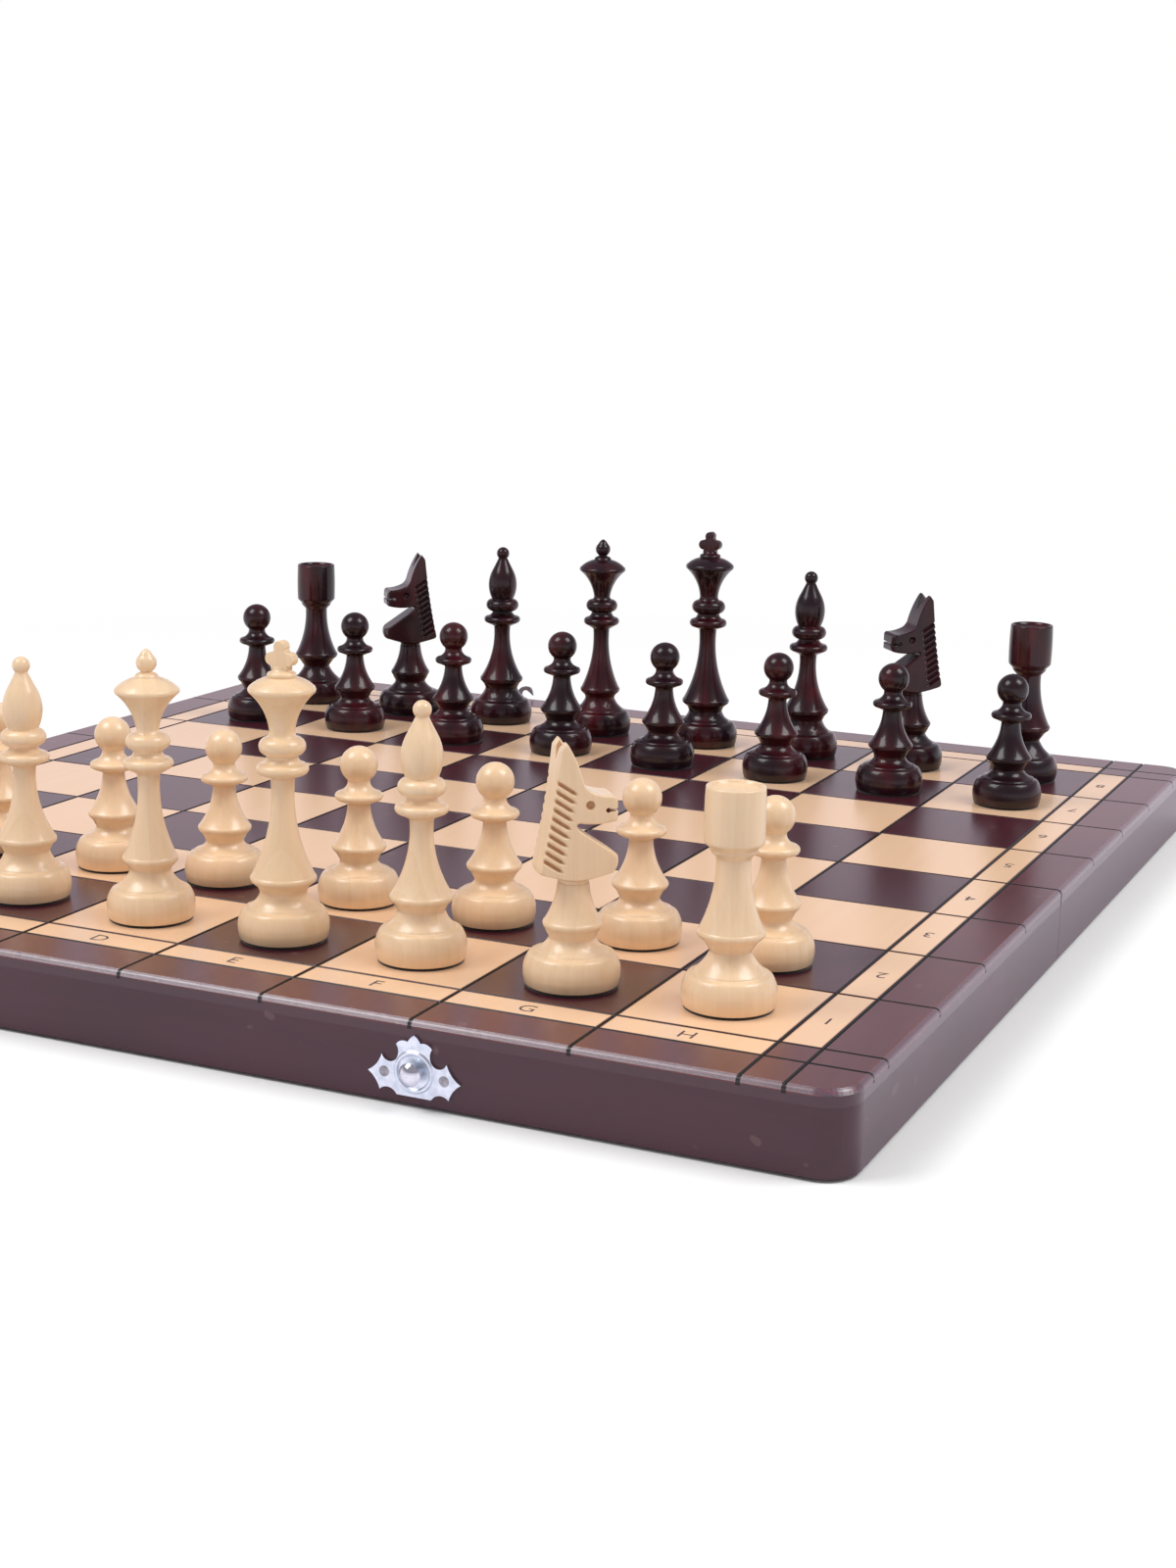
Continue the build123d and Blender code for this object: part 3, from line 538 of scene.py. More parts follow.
def make_lathe():
    """A tree that turns a profile round the Z axis."""
    tree, given = start_tree("lathe", Profile="Geometry", Facets="Int", Finish="Material")
    points = add(tree, "GeometryNodeAttributeDomainSize", {0: given["Profile"]}).outputs["Point Count"]
    rows = calc(tree, "ADD", given["Facets"], 1)
    sheet = add(tree, "GeometryNodeMeshGrid", {"Vertices X": points, "Vertices Y": rows}).outputs["Mesh"]
    index = add(tree, "GeometryNodeInputIndex").outputs[0]
    column = calc(tree, "FLOOR", calc(tree, "DIVIDE", calc(tree, "ADD", index, 0.5), rows))
    row = calc(tree, "SUBTRACT", index, calc(tree, "MULTIPLY", column, rows))
    angle = calc(tree, "DIVIDE", calc(tree, "MULTIPLY", row, math.tau), given["Facets"])
    here = add(tree, "GeometryNodeInputPosition").outputs[0]
    look_up = {"Geometry": given["Profile"], "Value": here, "Index": column}
    cut = add(tree, "GeometryNodeSampleIndex", look_up, data_type="FLOAT_VECTOR").outputs[0]
    profile = add(tree, "ShaderNodeSeparateXYZ", {0: cut}).outputs
    x = calc(tree, "MULTIPLY", profile[0], calc(tree, "COSINE", angle))
    y = calc(tree, "MULTIPLY", profile[0], calc(tree, "SINE", angle))
    round_axis = add(tree, "ShaderNodeCombineXYZ", {0: x, 1: y, 2: profile[2]}).outputs[0]
    turned = add(tree, "GeometryNodeSetPosition", {"Geometry": sheet, "Position": round_axis}).outputs[0]
    closed = add(tree, "GeometryNodeMergeByDistance", {"Geometry": turned, "Distance": 0.002 * MM}).outputs[0]
    smooth = add(tree, "GeometryNodeSetShadeSmooth", {"Geometry": closed}).outputs[0]
    finish_tree(tree, smooth, given["Finish"])
    return tree


LATHE = make_lathe()


def run_tree(tree, source, **inputs):
    """Runs a Geometry Nodes tree on a mesh, and gives the result as a plain mesh of its own."""
    worker = placed("worker", source)
    step = worker.modifiers.new("tree", "NODES")
    step.node_group = tree
    for item in tree.interface.items_tree:
        if item.in_out == "INPUT" and item.name in inputs:
            step[item.identifier] = inputs[item.name]
    made = as_mesh(worker)
    bpy.data.objects.remove(worker)
    return made


print("lathe nodes:", len(LATHE.nodes))

# %% [markdown]
# ## Profiles
#
# A profile is a list of radius and height in millimetres, from the middle of the underside to the top.
# A pair of points in place of one is a bend: the arc passes through the first and ends at the second.
# Where two runs meet, the corner is eased with a small curve, as sanding and lacquer leave it.


# %% Following a profile
FACETS = 88
FELT = 0.8  # thickness of the felt disc, in millimetres as in the profiles


def bend_points(start, middle, end, step=1.1):
    """Points along the arc through three points, about a step apart."""
    a, b, c = Vector(start), Vector(middle), Vector(end)
    turn = 2 * (a.x * (b.y - c.y) + b.x * (c.y - a.y) + c.x * (a.y - b.y))
    squares = [p.x**2 + p.y**2 for p in (a, b, c)]
    centre = Vector((
        (squares[0] * (b.y - c.y) + squares[1] * (c.y - a.y) + squares[2] * (a.y - b.y)) / turn,
        (squares[0] * (c.x - b.x) + squares[1] * (a.x - c.x) + squares[2] * (b.x - a.x)) / turn,
    ))
    radius = (a - centre).length
    first, via, last = (math.atan2(p.y - centre.y, p.x - centre.x) for p in (a, b, c))
    sweep = (last - first) % math.tau
    if (via - first) % math.tau > sweep:
        sweep -= math.tau
    count = max(4, math.ceil(abs(sweep) * radius / step), math.ceil(abs(sweep) / 0.2))
    angles = [first + sweep * n / count for n in range(count + 1)]
    return [(centre.x + radius * math.cos(t), centre.y + radius * math.sin(t)) for t in angles]


def follow(path, ease=0.4):
    """Follows a profile and eases its corners. Gives the points from its start to its end."""
    runs, here = [], path[0]
    for leg in path[1:]:
        runs.append(bend_points(here, *leg) if isinstance(leg[0], tuple) else [here, leg])
        here = runs[-1][-1]
    points = list(runs[0][:-1])
    for run, following in zip(runs, runs[1:]):
        corner, before, after = Vector(following[0]), Vector(run[-2]), Vector(following[1])
        cut = min(ease, 0.45 * (corner - before).length, 0.45 * (after - corner).length)
        start = corner + (before - corner).normalized() * cut
        end = corner + (after - corner).normalized() * cut
        middle = 0.25 * start + 0.5 * corner + 0.25 * end
        points += [tuple(start), tuple(middle), tuple(end)] + following[1:-1]
    return points + [runs[-1][-1]]


def turn_on_lathe(path, finish, ease=0.4, facets=FACETS):
    """Turns a profile in millimetres into a smooth closed mesh in metres."""
    points = [(r * MM, 0, z * MM) for r, z in follow(path, ease)]
    profile = bpy.data.meshes.new("profile")
    profile.from_pydata(points, [(n, n + 1) for n in range(len(points) - 1)], [])
    return run_tree(LATHE, profile, Facets=facets, Finish=finish)


def ball(neck, radius, middle):
    """The last legs of a profile that ends in a ball on a neck."""
    return [(neck, middle - math.sqrt(radius**2 - neck**2)), ((radius, middle), (0, middle + radius))]


print("a bend of", len(bend_points((1, 0), (0.7, 0.7), (0, 1), 0.2)), "points")

# %% [markdown]
# ## Six kinds of men
#
# All stand on the same kind of foot: a drum, a small step, a flare, and a skirt with a sharp undercut.
# Above it come a slender stem, one or two collars, and a head that says which man it is. A collar is a
# flat disc with a rounded ring over it, so its profile uses short bends, not straight lines.


# %% Profiles of the men
def foot(radius, flare, waist, under, skirt):
    """The lower turning that all the men share, from the felt to the rounded edge of the skirt."""
    drum = [(0, FELT), (radius - 0.5, FELT), (radius, 3.6), (radius, 5.0)]
    drum += [((radius - 0.45, 7.6), (radius - 1.8, 10.2))]
    edge, height = skirt
    lip = [(edge - 0.45, height - 0.8), ((edge + 0.1, height + 0.15), (edge - 0.4, height + 1.4))]
    return drum + [(10.7, 10.7), (10.5, 11.2), (flare, waist), under] + lip


PROFILES = {
    "pawn": foot(13.8, (7.9, 12.3), (6.3, 14.4), (7.6, 17.0), (9.0, 18.8))
    + [((5.2, 26.5), (3.8, 33.8))]
    + [(6.9, 35.1), ((8.05, 36.3), (7.1, 37.7)), ((5.2, 38.6), (3.8, 40.5))]
    + ball(3.7, 6.3, 47.0),
    "rook": foot(14.2, (7.8, 14.0), (6.0, 17.2), (8.2, 20.4), (10.0, 22.3))
    + [((6.1, 33.6), (5.1, 45.0)), (6.9, 46.9), (7.0, 47.8), (8.8, 49.6), ((8.95, 58.0), (8.7, 66.2))]
    + [(7.8, 66.2), (7.3, 65.2), ((4.0, 64.6), (0, 64.4))],
    "bishop": foot(14.3, (8.5, 13.4), (7.4, 16.0), (8.5, 18.1), (9.8, 19.8))
    + [((5.2, 30.5), (3.8, 44.8))]
    + [(7.2, 46.4), ((8.35, 47.9), (7.3, 49.4)), ((5.4, 50.2), (4.5, 51.9))]
    + [((7.5, 54.6), (4.9, 57.4))]
    + [((6.5, 64.6), (4.9, 70.6)), ((3.2, 73.9), (2.0, 76.4)), ((2.9, 78.5), (0, 81.4))],
    "queen": foot(14.3, (8.2, 13.4), (6.6, 16.3), (7.0, 17.5), (8.9, 19.8))
    + [((4.9, 31.5), (3.7, 48.0))]
    + [(6.9, 49.9), ((8.05, 51.5), (7.0, 53.1)), ((5.3, 54.0), (4.6, 55.9))]
    + [((7.1, 58.8), (4.3, 61.4)), (3.6, 62.4)]
    + [((5.0, 67.6), (10.0, 74.3)), ((10.4, 75.1), (9.9, 76.1)), ((7.3, 78.1), (3.9, 79.4))]
    + [((3.5, 80.3), (2.1, 81.0)), (1.75, 81.4), ((3.3, 83.9), (2.2, 86.5)), ((1.5, 87.6), (0, 88.7))],
    "king": foot(14.5, (9.0, 12.4), (7.4, 15.6), (8.2, 17.4), (10.4, 19.6))
    + [((5.4, 33.0), (3.9, 52.3))]
    + [(7.1, 53.4), ((8.25, 55.0), (7.2, 56.7)), ((5.5, 57.6), (4.9, 59.4))]
    + [((7.4, 62.2), (4.6, 65.2)), (4.0, 66.4)]
    + [((5.4, 72.5), (10.3, 79.3)), ((10.6, 80.3), (10.0, 81.3)), ((7.8, 82.9), (4.4, 84.1))]
    + [((4.6, 85.0), (3.8, 85.7)), ((2.9, 86.4), (2.5, 87.6)), (0, 87.6)],
    "knight": foot(14.7, (8.3, 12.9), (6.9, 14.9), (8.0, 17.0), (8.9, 18.9))
    + [((5.9, 26.0), (4.8, 32.0)), (0, 33.0)],
}
FELT_RADIUS = {"pawn": 13.0, "rook": 13.4, "bishop": 13.5, "queen": 13.5, "king": 13.7, "knight": 13.9}
for kind, path in PROFILES.items():
    print(kind, "profile:", len(follow(path)), "points, top at", max(z for r, z in follow(path)), "mm")


# %% Small tools for meshes
def gather(name, meshes):
    """One mesh out of several, each with its own finish kept, and every face pointing outwards."""
    whole = bpy.data.meshes.new(name)
    built = bmesh.new()
    for mesh in meshes:
        first = len(built.faces)
        built.from_mesh(mesh)
        built.faces.ensure_lookup_table()
        finishes = [finish for finish in mesh.materials if finish]
        for finish in finishes:
            if finish.name not in whole.materials:
                whole.materials.append(finish)
        for face in built.faces[first:]:
            finish = mesh.materials[face.material_index] or finishes[0]
            face.material_index = whole.materials.find(finish.name)
    bmesh.ops.recalc_face_normals(built, faces=built.faces)
    built.to_mesh(whole)
    built.free()
    return whole


def piece(name, mesh, body, slot, *replaced):
    """Puts a finished mesh in the scene, riding on a body and standing for CAD nodes."""
    made = placed(name, mesh)
    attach(made, body)
    if replaced:
        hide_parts(*replaced)
    return made


print("mesh tools ready")

# %% [markdown]
# ## The king's cross
#
# The cross is small and was turned and filed from the same wood, so its arms end round and it has a
# knob on top. Metaballs or a filed block would do. Here a flat outline is pulled to thickness and its
# edges are bevelled well over, which keeps the mesh light and the shape crisp.


# %% Flat shapes with soft edges
def slab(outline, thickness, edge, finish):
    """A flat outline in X and Z, in millimetres, as thick as given, with its edges rounded over."""
    shape = bmesh.new()
    back = [shape.verts.new((x * MM, -thickness / 2 * MM, z * MM)) for x, z in outline]
    face = shape.faces.new(back)
    pulled = bmesh.ops.extrude_face_region(shape, geom=[face])["geom"]
    front = [part for part in pulled if isinstance(part, bmesh.types.BMVert)]
    bmesh.ops.translate(shape, verts=front, vec=(0, thickness * MM, 0))
    bmesh.ops.recalc_face_normals(shape, faces=shape.faces)
    rims = [line for line in shape.edges if abs(line.verts[0].co.y - line.verts[1].co.y) < 1e-7]
    bmesh.ops.bevel(
        shape, geom=rims, offset=edge * MM, segments=3, affect="EDGES", profile=0.5, clamp_overlap=True
    )
    bmesh.ops.triangulate(shape, faces=[side for side in shape.faces if len(side.verts) > 4])
    mesh = bpy.data.meshes.new("slab")
    shape.to_mesh(mesh)
    shape.free()
    mesh.materials.append(finish)
    mesh.shade_smooth()
    return mesh


def cross_outline():
    """Half of a cross with round arms and a round knob, widening to its foot, and its mirror image."""
    right = [(2.9, 86.4), (2.7, 87.7), ((4.95, 89.8), (2.7, 91.9)), (1.95, 92.1), (1.8, 92.8)]
    right += [((1.38, 94.93), (0, 95.5))]
    half = follow(right, 0.3)
    return half + [(-x, z) for x, z in reversed(half[:-1])]


cross = slab(cross_outline(), 3.6, 1.1, light_wood)
print("cross:", len(cross.vertices), "vertices")

# %% [markdown]
# ## The knight's head
#
# The knight's head starts as a turned blank, which leaves its underside and the front of its chest round.
# It is sawn flat on both sides, sawn to its outline, drilled for the eyes and the corner of the mouth, and
# notched with a row of cuts for the mane.
#
# Booleans do the same in Blender: a flat slab with the outline of the head meets the turned blank, and
# what they share is cut and drilled. The mane's cuts follow a rule, so a Geometry Nodes tree lays them
# along the back edge. Last comes sandpaper: a voxel remesh a quarter of a millimetre fine and a few rounds
# of smoothing ease every edge, which bevels can't do on a shape cut this way. Then every vertex notes how
# deep it lies below the uncut shape, for the shade that is painted into the cuts.

# %% Blank of the knight's head
HEAD_THICK = 12.0  # in millimetres, like everything on the head
HEAD = [
    (-4.3, 75.1), (-5.9, 73.0), ((-8.0, 56.0), (-11.4, 37.0)), (-11.4, 31.6), (14.0, 31.6), (14.0, 39.3),
    (11.9, 40.7), (0.3, 48.6), (-0.9, 49.7), (-0.4, 50.9), ((6.0, 50.4), (11.9, 51.4)), (12.2, 53.6),
    (11.8, 57.6), (10.8, 58.7), ((6.0, 59.3), (2.6, 60.7)), (1.3, 62.4), ((-0.9, 69.0), (-4.2, 75.1)),
]
BLANK = [
    (0, 31.6), (4.6, 31.6), (4.6, 33.1), (12.1, 35.6), ((13.2, 38.2), (12.8, 40.7)), (12.8, 76.0), (0, 76.0),
]
head_outline = follow(HEAD, 0.5)[:-1]
print("knight's outline:", len(head_outline), "points")


# %% Saw cuts of the mane
CUTS = 10
CUT_SLOPE = math.radians(33)


def make_saw_cuts():
    """A tree that lays one V-shaped cut after another along a line, all turned the same way."""
    kinds = {"Cut": "Geometry", "Count": "Int", "Start": "Vector", "End": "Vector", "Slope": "Float"}
    tree, given = start_tree("saw_cuts", **kinds, Finish="Material")
    ends = {"Count": given["Count"], "Start Location": given["Start"], "Offset": given["End"]}
    line = add(tree, "GeometryNodeMeshLine", ends, mode="END_POINTS", count_mode="TOTAL").outputs[0]
    slope = add(tree, "ShaderNodeCombineXYZ", {1: given["Slope"]}).outputs[0]
    spots = {"Points": line, "Instance": given["Cut"], "Rotation": slope}
    laid = add(tree, "GeometryNodeInstanceOnPoints", spots).outputs[0]
    finish_tree(tree, laid, given["Finish"])
    return tree


SAW_CUTS = make_saw_cuts()


def vee(length, width, depth, side):
    """One cut: a V along X, open where it enters at the back edge, and running out at its end."""
    out = side * 0.3 * MM
    rings = [(-3, width, depth), (0.75 * length, 0.9 * width, 0.85 * depth), (length, 0.35 * width, 0.05)]
    spots, faces = [], [(0, 1, 2), (6, 8, 7)]
    for x, half, deep in rings:
        spots += [(x * MM, out, -half * MM), (x * MM, -side * deep * MM, 0), (x * MM, out, half * MM)]
    for start in (0, 3):
        for near, far in ((0, 1), (1, 2), (2, 0)):
            faces.append((start + near, start + far, start + 3 + far, start + 3 + near))
    mesh = bpy.data.meshes.new("vee")
    mesh.from_pydata(spots, [], faces)
    return mesh


def mane_cuts(side, finish):
    """All the cuts of the mane on one face of the head."""
    y = side * HEAD_THICK / 2 * MM
    start = (-7.0 * MM, y, 63.4 * MM)
    end = (-11.0 * MM, y, 40.2 * MM)
    cut = vee(8.2, 0.95, 1.5, side)
    return run_tree(SAW_CUTS, cut, Count=CUTS, Start=start, End=end, Slope=CUT_SLOPE, Finish=finish)


print("cuts in the mane, on each side:", CUTS)


# %% Tools for carving
def cutter(mesh):
    """A shape for the Booleans, with every face pointing outwards. It's gone once the head is carved."""
    built = bmesh.new()
    built.from_mesh(mesh)
    bmesh.ops.recalc_face_normals(built, faces=built.faces)
    built.to_mesh(mesh)
    built.free()
    return placed("cutter", mesh)


def round_bit(x, z, radius, depth, side):
    """A drill with a round end, for an eye or the corner of the mouth."""
    shape = bmesh.new()
    bmesh.ops.create_uvsphere(shape, u_segments=24, v_segments=12, radius=radius * MM)
    bmesh.ops.scale(shape, vec=(1, depth / radius, 1), verts=shape.verts)
    bmesh.ops.translate(shape, vec=(x * MM, side * HEAD_THICK / 2 * MM, z * MM), verts=shape.verts)
    mesh = bpy.data.meshes.new("bit")
    shape.to_mesh(mesh)
    shape.free()
    return mesh


def prism(points, axis, reach):
    """A straight cutter: a flat shape in millimetres, pulled both ways along x or y."""
    shape = bmesh.new()
    for end in (-reach, reach):
        for a, z in points:
            shape.verts.new((end * MM, a * MM, z * MM) if axis == "x" else (a * MM, end * MM, z * MM))
    shape.verts.ensure_lookup_table()
    count = len(points)
    shape.faces.new(shape.verts[:count])
    shape.faces.new(shape.verts[count:])
    for n in range(count):
        m = (n + 1) % count
        shape.faces.new([shape.verts[n], shape.verts[m], shape.verts[count + m], shape.verts[count + n]])
    mesh = bpy.data.meshes.new("prism")
    shape.to_mesh(mesh)
    shape.free()
    return mesh


def saw(work, tool, how):
    """Adds one Boolean cut to the work."""
    step = work.modifiers.new("cut", "BOOLEAN")
    step.operation = how
    step.solver = "EXACT"
    step.object = tool


print("carving tools ready")

# %% Carving the head
SANDING = 0.24 * MM  # the size of the remesh's cells
FLUSH = 0.15 * MM  # a vertex no deeper than this counts as uncut
CUT_DEPTH = 0.6 * MM  # and one this much deeper still counts as cut all the way


def carve_head(finish):
    """The knight's head, with its ears, mouth, eyes and mane."""
    head = cutter(slab(head_outline, HEAD_THICK, 0.5, finish))
    blank = cutter(turn_on_lathe(BLANK, finish, 0.2))
    ears = prism([(-4.3, 77.2), (0, 68.6), (4.3, 77.2)], "x", 14)
    mouth = prism([(8.7, 54.2), (15, 54.0), (15, 55.0), (8.7, 54.8)], "y", 8)
    tools = [cutter(ears), cutter(mouth), cutter(round_bit(8.7, 54.5, 0.8, 14, 0))]
    for side in (-1, 1):
        tools += [cutter(mane_cuts(side, finish)), cutter(round_bit(3.2, 56.2, 1.4, 1.3, side))]
    saw(head, blank, "INTERSECT")
    uncut = as_mesh(head)
    for tool in tools:
        saw(head, tool, "DIFFERENCE")
    remesh = head.modifiers.new("sandpaper", "REMESH")
    remesh.mode = "VOXEL"
    remesh.voxel_size = SANDING
    remesh.use_smooth_shade = True
    smooth = head.modifiers.new("polish", "SMOOTH")
    smooth.factor = 0.5
    smooth.iterations = 2
    carved = as_mesh(head)
    for unseen in [head, blank] + tools:
        bpy.data.objects.remove(unseen)
    carved.materials.clear()
    carved.materials.append(finish)
    mark_cuts(carved, uncut)
    return carved


def mark_cuts(carved, uncut):
    """Notes on every vertex, from 0 to 1, how far the knife went in below the uncut shape, for the painted
    shade in the cuts.
    """
    shape = bmesh.new()
    shape.from_mesh(uncut)
    skin = BVHTree.FromBMesh(shape)
    shape.free()
    depth = carved.attributes.new("cut", "FLOAT", "POINT")
    for vertex, value in zip(carved.vertices, depth.data):
        below = skin.find_nearest(vertex.co)[3]
        value.value = min(1, max(0, below - FLUSH) / CUT_DEPTH)


carved_light = carve_head(light_wood)
carved_dark = carved_light.copy()
carved_dark.materials[0] = dark_wood
carved = {light_wood: carved_light, dark_wood: carved_dark}
print("carved head:", len(carved_light.polygons), "faces")

# %% [markdown]
# ## Setting up the men
#
# One man of each kind and wood is made, then copied once for every man of the game. The middle of the
# CAD node's box says where it stands. The copy is moved in its mesh, not by its object, because the
# object has to stay at the origin for the pattern of the wood to stay put when the man is lifted.
# The knights are turned the way the picture shows.

# %% Setting up the men
# For each colour its wood, its slot, and the way its knights face in degrees
SIDES = {"white": (light_wood, "light_men_wood", 40), "black": (dark_wood, "dark_men_wood", 220)}
BACK_RANK = ("rook", "knight", "bishop", "queen", "king", "bishop", "knight", "rook")
FILES = "abcdefgh"


def make_man(kind, wood):
    """One man at the origin: its turning, its carving if it has any, and its felt disc."""
    parts = [turn_on_lathe(PROFILES[kind], wood)]
    if kind == "king":
        top = cross.copy()
        top.materials[0] = wood
        parts.append(top)
    if kind == "knight":
        parts.append(carved[wood])
    disc = [(0, 0), (FELT_RADIUS[kind], 0), (FELT_RADIUS[kind], FELT), (0, FELT)]
    parts.append(turn_on_lathe(disc, base_felt, 0.15, 48))
    return gather(f"{kind}_{wood.name}", parts)


def men_names(colour):
    """The name of every man of one side, with its kind."""
    names = [(f"{colour}_pawn_{file}", "pawn") for file in FILES]
    for file, kind in zip(FILES, BACK_RANK):
        single = kind in ("king", "queen")
        names.append((f"{colour}_{kind}" if single else f"{colour}_{kind}_{file}", kind))
    return names


triangles = 0
for colour, (wood, slot, facing) in SIDES.items():
    patterns = {kind: make_man(kind, wood) for kind in PROFILES}
    for node, kind in men_names(colour):
        low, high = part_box(node)
        turn = math.radians(facing if kind == "knight" else 0)
        spot = Matrix.Translation(((low.x + high.x) / 2, (low.y + high.y) / 2, BOARD_TOP))
        mesh = patterns[kind].copy()
        mesh.transform(spot @ Matrix.Rotation(turn, 4, "Z"))
        piece(f"{node}_turned", mesh, f"{node}_man", slot, node)
        triangles += sum(len(face.vertices) - 2 for face in mesh.polygons)
print("men's triangles:", triangles)

# %% [markdown]
# ## Letters and numbers
#
# The strips carry the letters of the files and the numbers of the ranks, burnt in thin grey strokes.
# They are generic marks, so a plain font does. Each is a text object made into a mesh, given a hair's
# thickness, and laid in the middle of its square's edge. The numbers are upright as seen from Black's side.


# %% Letters and numbers
def make_ink():
    finish, tree, shader, spot = start_finish("burnt_marks")
    uneven = noise(tree, spot, 2200)
    colour = mixed(tree, ramp(tree, uneven, 0.3, 0.7), tint(58, 46, 52), tint(96, 78, 84))
    dress(tree, shader, colour, ramp(tree, uneven, 0.3, 0.7, 0.45, 0.7), uneven, 0.02 * MM)
    return finish


MARK_SIZE = 8 * MM
MARK_THICK = 0.03 * MM
MARK_THINNER = -0.04 * MM  # moves the strokes' outlines inwards
ink = make_ink()


def mark(text, x, y, turn):
    """One letter or number, flat on the strip, with its middle at x and y."""
    curve = bpy.data.curves.new("mark", "FONT")
    curve.body = text
    curve.size = MARK_SIZE
    curve.align_x = "CENTER"
    curve.align_y = "CENTER"
    curve.extrude = MARK_THICK
    curve.offset = MARK_THINNER
    curve.resolution_u = 4
    written = placed("mark", curve)
    mesh = as_mesh(written)
    bpy.data.objects.remove(written)
    lows = [min(v.co[n] for v in mesh.vertices) for n in (0, 1)]
    highs = [max(v.co[n] for v in mesh.vertices) for n in (0, 1)]
    centre = Vector(((lows[0] + highs[0]) / 2, (lows[1] + highs[1]) / 2, 0))
    mesh.transform(Matrix.Translation(-centre))
    mesh.transform(Matrix.Translation((x, y, BOARD_TOP)) @ Matrix.Rotation(math.radians(turn), 4, "Z"))
    mesh.materials.clear()
    mesh.materials.append(ink)
    return mesh


STRIP_MIDDLE = (FIELD + STRIP_LINE) / 2
NUMBER_TURN = 180
NEAR_SHIFT = 1.5 * MM  # the near half's numbers sit this much closer to White
middles = [(n - 3.5) * SQUARE for n in range(8)]
near_marks = [mark(FILES[n].upper(), middles[n], -STRIP_MIDDLE, 0) for n in range(8)]
near_marks += [mark(str(n + 1), STRIP_MIDDLE, middles[n] - NEAR_SHIFT, NUMBER_TURN) for n in range(4)]
far_marks = [mark(str(n + 1), STRIP_MIDDLE, middles[n], NUMBER_TURN) for n in range(4, 8)]
piece("near_strip_marks", gather("near_marks", near_marks), "near_half", "panel_wood")
piece("far_strip_marks", gather("far_marks", far_marks), "far_half", "panel_wood")
print("marks:", len(near_marks) + len(far_marks))

# %% [markdown]
# ## Floor and light
#
# The picture is a plain studio shot on white. Floor and sky are white to the camera, and the floor takes
# the shadows. Lacquer and steel mirror both with a trace of violet, and the sky they mirror darkens
# overhead, so that dark lacquer stays dark.
#
# Two large lamps hang over the board, to its left and right as the camera sees it and a little on the
# camera's side. They make the two soft highlights on every drum.


# %% Floor
WHITE = (1, 1, 1, 1)
FLOOR_GLOSS_HUE = (0.96, 0.91, 1.0, 1)
FLOOR_HALF = 4.0
GLOW_FROM = 0.36  # metres from the middle of the board
GLOW_TO = 0.75


def rays(tree):
    """Two switches: 1 for any ray of sight, and 1 for those that lacquer or steel mirror."""
    ray = add(tree, "ShaderNodeLightPath").outputs
    seen = calc(tree, "MAXIMUM", ray["Is Camera Ray"], ray["Is Glossy Ray"])
    return calc(tree, "MAXIMUM", seen, ray["Is Transmission Ray"]), ray["Is Glossy Ray"]


def make_floor_finish():
    """Matt paper. Rays that see it find it white, and far from the board it glows, so it never turns grey."""
    finish, tree, shader, spot = start_finish("studio_floor")
    seen, mirrored = rays(tree)
    paper = ramp(tree, noise(tree, spot, 3), 0.3, 0.7)
    dull = mixed(tree, paper, (0.74, 0.74, 0.75, 1), (0.76, 0.76, 0.77, 1))
    away = add(tree, "ShaderNodeVectorMath", {0: spot}, operation="LENGTH").outputs["Value"]
    glow = calc(tree, "MULTIPLY", seen, ramp(tree, away, GLOW_FROM, GLOW_TO))
    pale = mixed(tree, mirrored, WHITE, FLOOR_GLOSS_HUE)
    dress(tree, shader, mixed(tree, glow, mixed(tree, seen, dull, pale), (0, 0, 0, 1)), 0.9)
    plug(tree, shader, {"Emission Strength": glow})
    shader.inputs["Emission Color"].default_value = WHITE
    shader.inputs["Specular IOR Level"].default_value = 0.0
    return finish


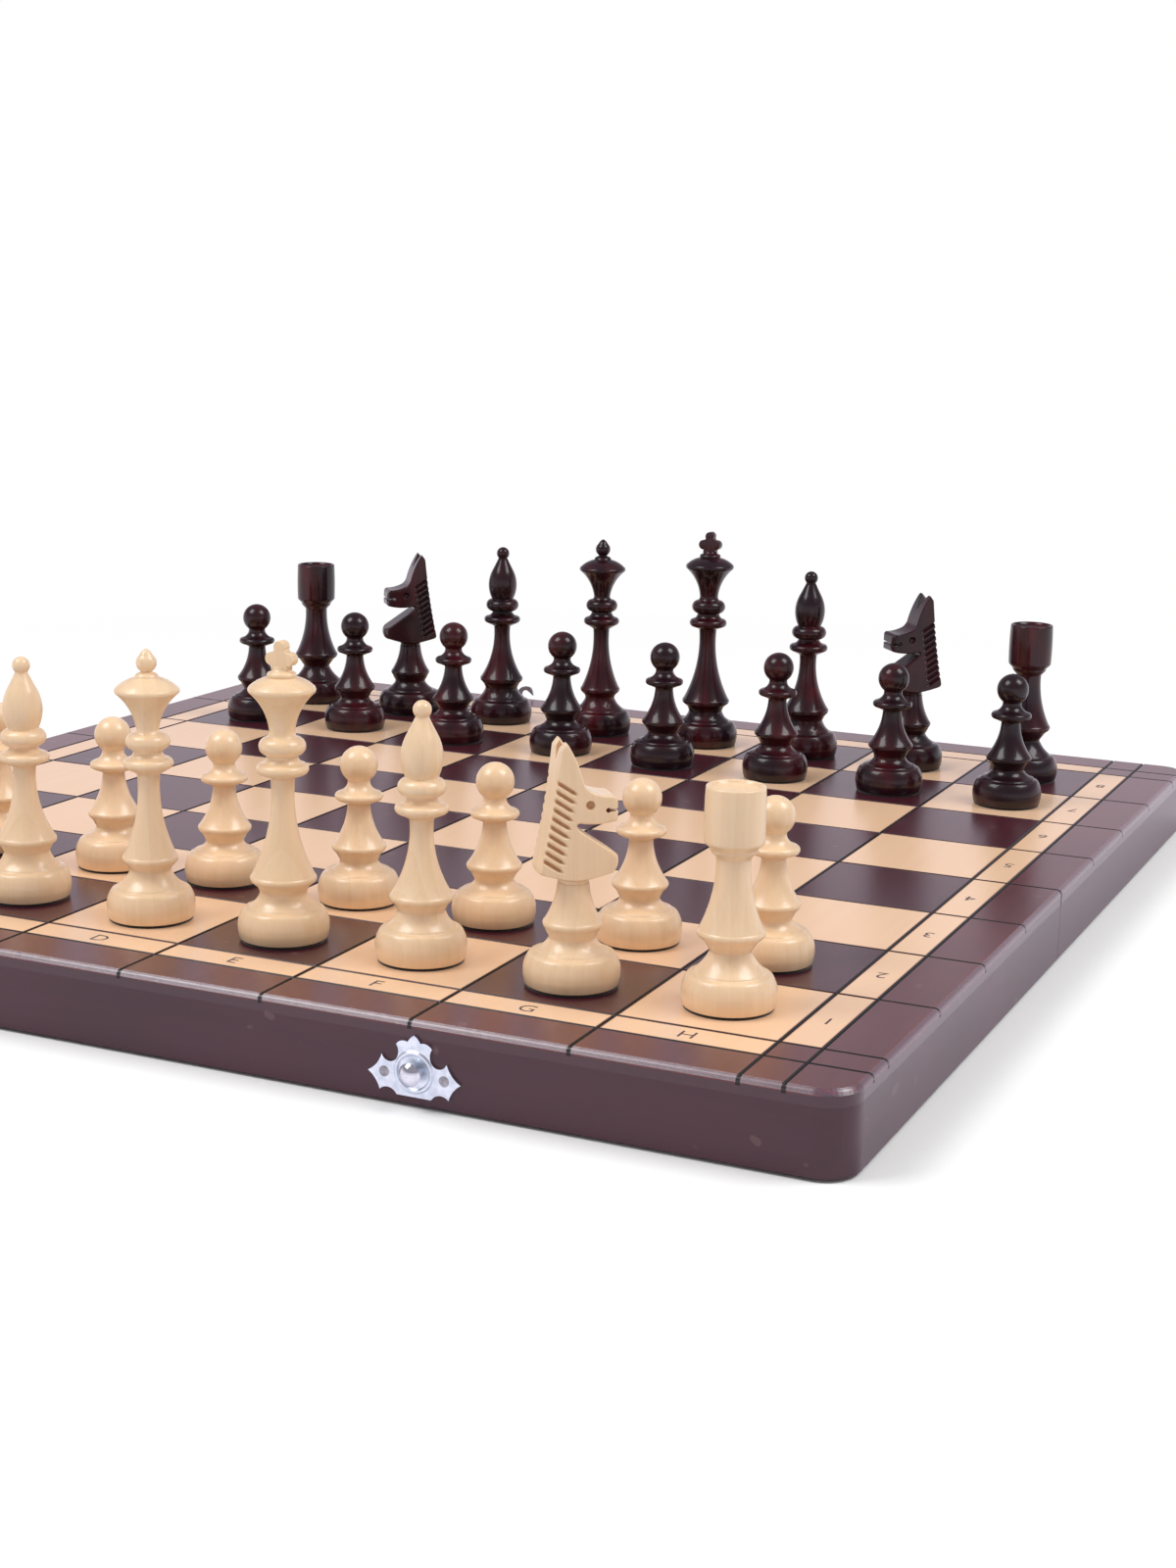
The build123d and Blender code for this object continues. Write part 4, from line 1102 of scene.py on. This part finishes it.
floor_mesh = bpy.data.meshes.new("floor")
corners = [(x * FLOOR_HALF, y * FLOOR_HALF, 0) for x, y in ((-1, -1), (1, -1), (1, 1), (-1, 1))]
floor_mesh.from_pydata(corners, [], [(0, 1, 2, 3)])
floor_mesh.materials.append(make_floor_finish())
floor = placed("floor", floor_mesh)
floor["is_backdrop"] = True
print("floor", 2 * FLOOR_HALF, "m wide")

# %% Sky
SKY_GLOSS_HUE = (0.96, 0.89, 1.0, 1)
SKY_FILL = 0.5
OVERHEAD = 0.35
world = bpy.data.worlds.new("studio")
world.use_nodes = True
bpy.context.scene.world = world
sky = world.node_tree
sky.nodes.clear()
seen, mirrored = rays(sky)
up = add(sky, "ShaderNodeSeparateXYZ", {0: add(sky, "ShaderNodeTexCoord").outputs["Generated"]}).outputs[2]
darkening = ramp(sky, up, 0.12, 0.34, 1.0, OVERHEAD)
shown = add(sky, "ShaderNodeMix", {0: mirrored, 2: 1.0, 3: darkening}).outputs[0]
level = add(sky, "ShaderNodeMix", {0: seen, 2: SKY_FILL, 3: shown}).outputs[0]
hue = mixed(sky, mirrored, WHITE, SKY_GLOSS_HUE)
light = add(sky, "ShaderNodeBackground", {"Color": hue, "Strength": level})
add(sky, "ShaderNodeOutputWorld", {"Surface": light.outputs[0]})
print("sky ready")

# %% Lamps
LAMP_SIZE = 0.9
LAMP_POWER = 17.0
LAMP_AWAY = 2.0
LAMP_SIDE, LAMP_BACK, LAMP_UP = 0.6, 0.22, 0.81  # the way to each lamp, as the camera sees it
right = aim @ Vector((1, 0, 0))
right.z = 0
right.normalize()
ahead = Vector((0, 0, 1)).cross(right)
for name, side in (("left", -1), ("right", 1)):
    lamp = bpy.data.lights.new(f"lamp_{name}", "AREA")
    lamp.shape = "SQUARE"
    lamp.size = LAMP_SIZE
    lamp.energy = LAMP_POWER
    holder = placed(f"lamp_{name}", lamp)
    way = (side * LAMP_SIDE * right - LAMP_BACK * ahead + Vector((0, 0, LAMP_UP))).normalized()
    holder.matrix_world = Matrix.LocRotScale(MIDDLE + LAMP_AWAY * way, way.to_track_quat("Z", "Y"), None)
print("lamps ready")

# %% Measure and finish
low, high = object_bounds()
print("visual box:", tuple(low), tuple(high))
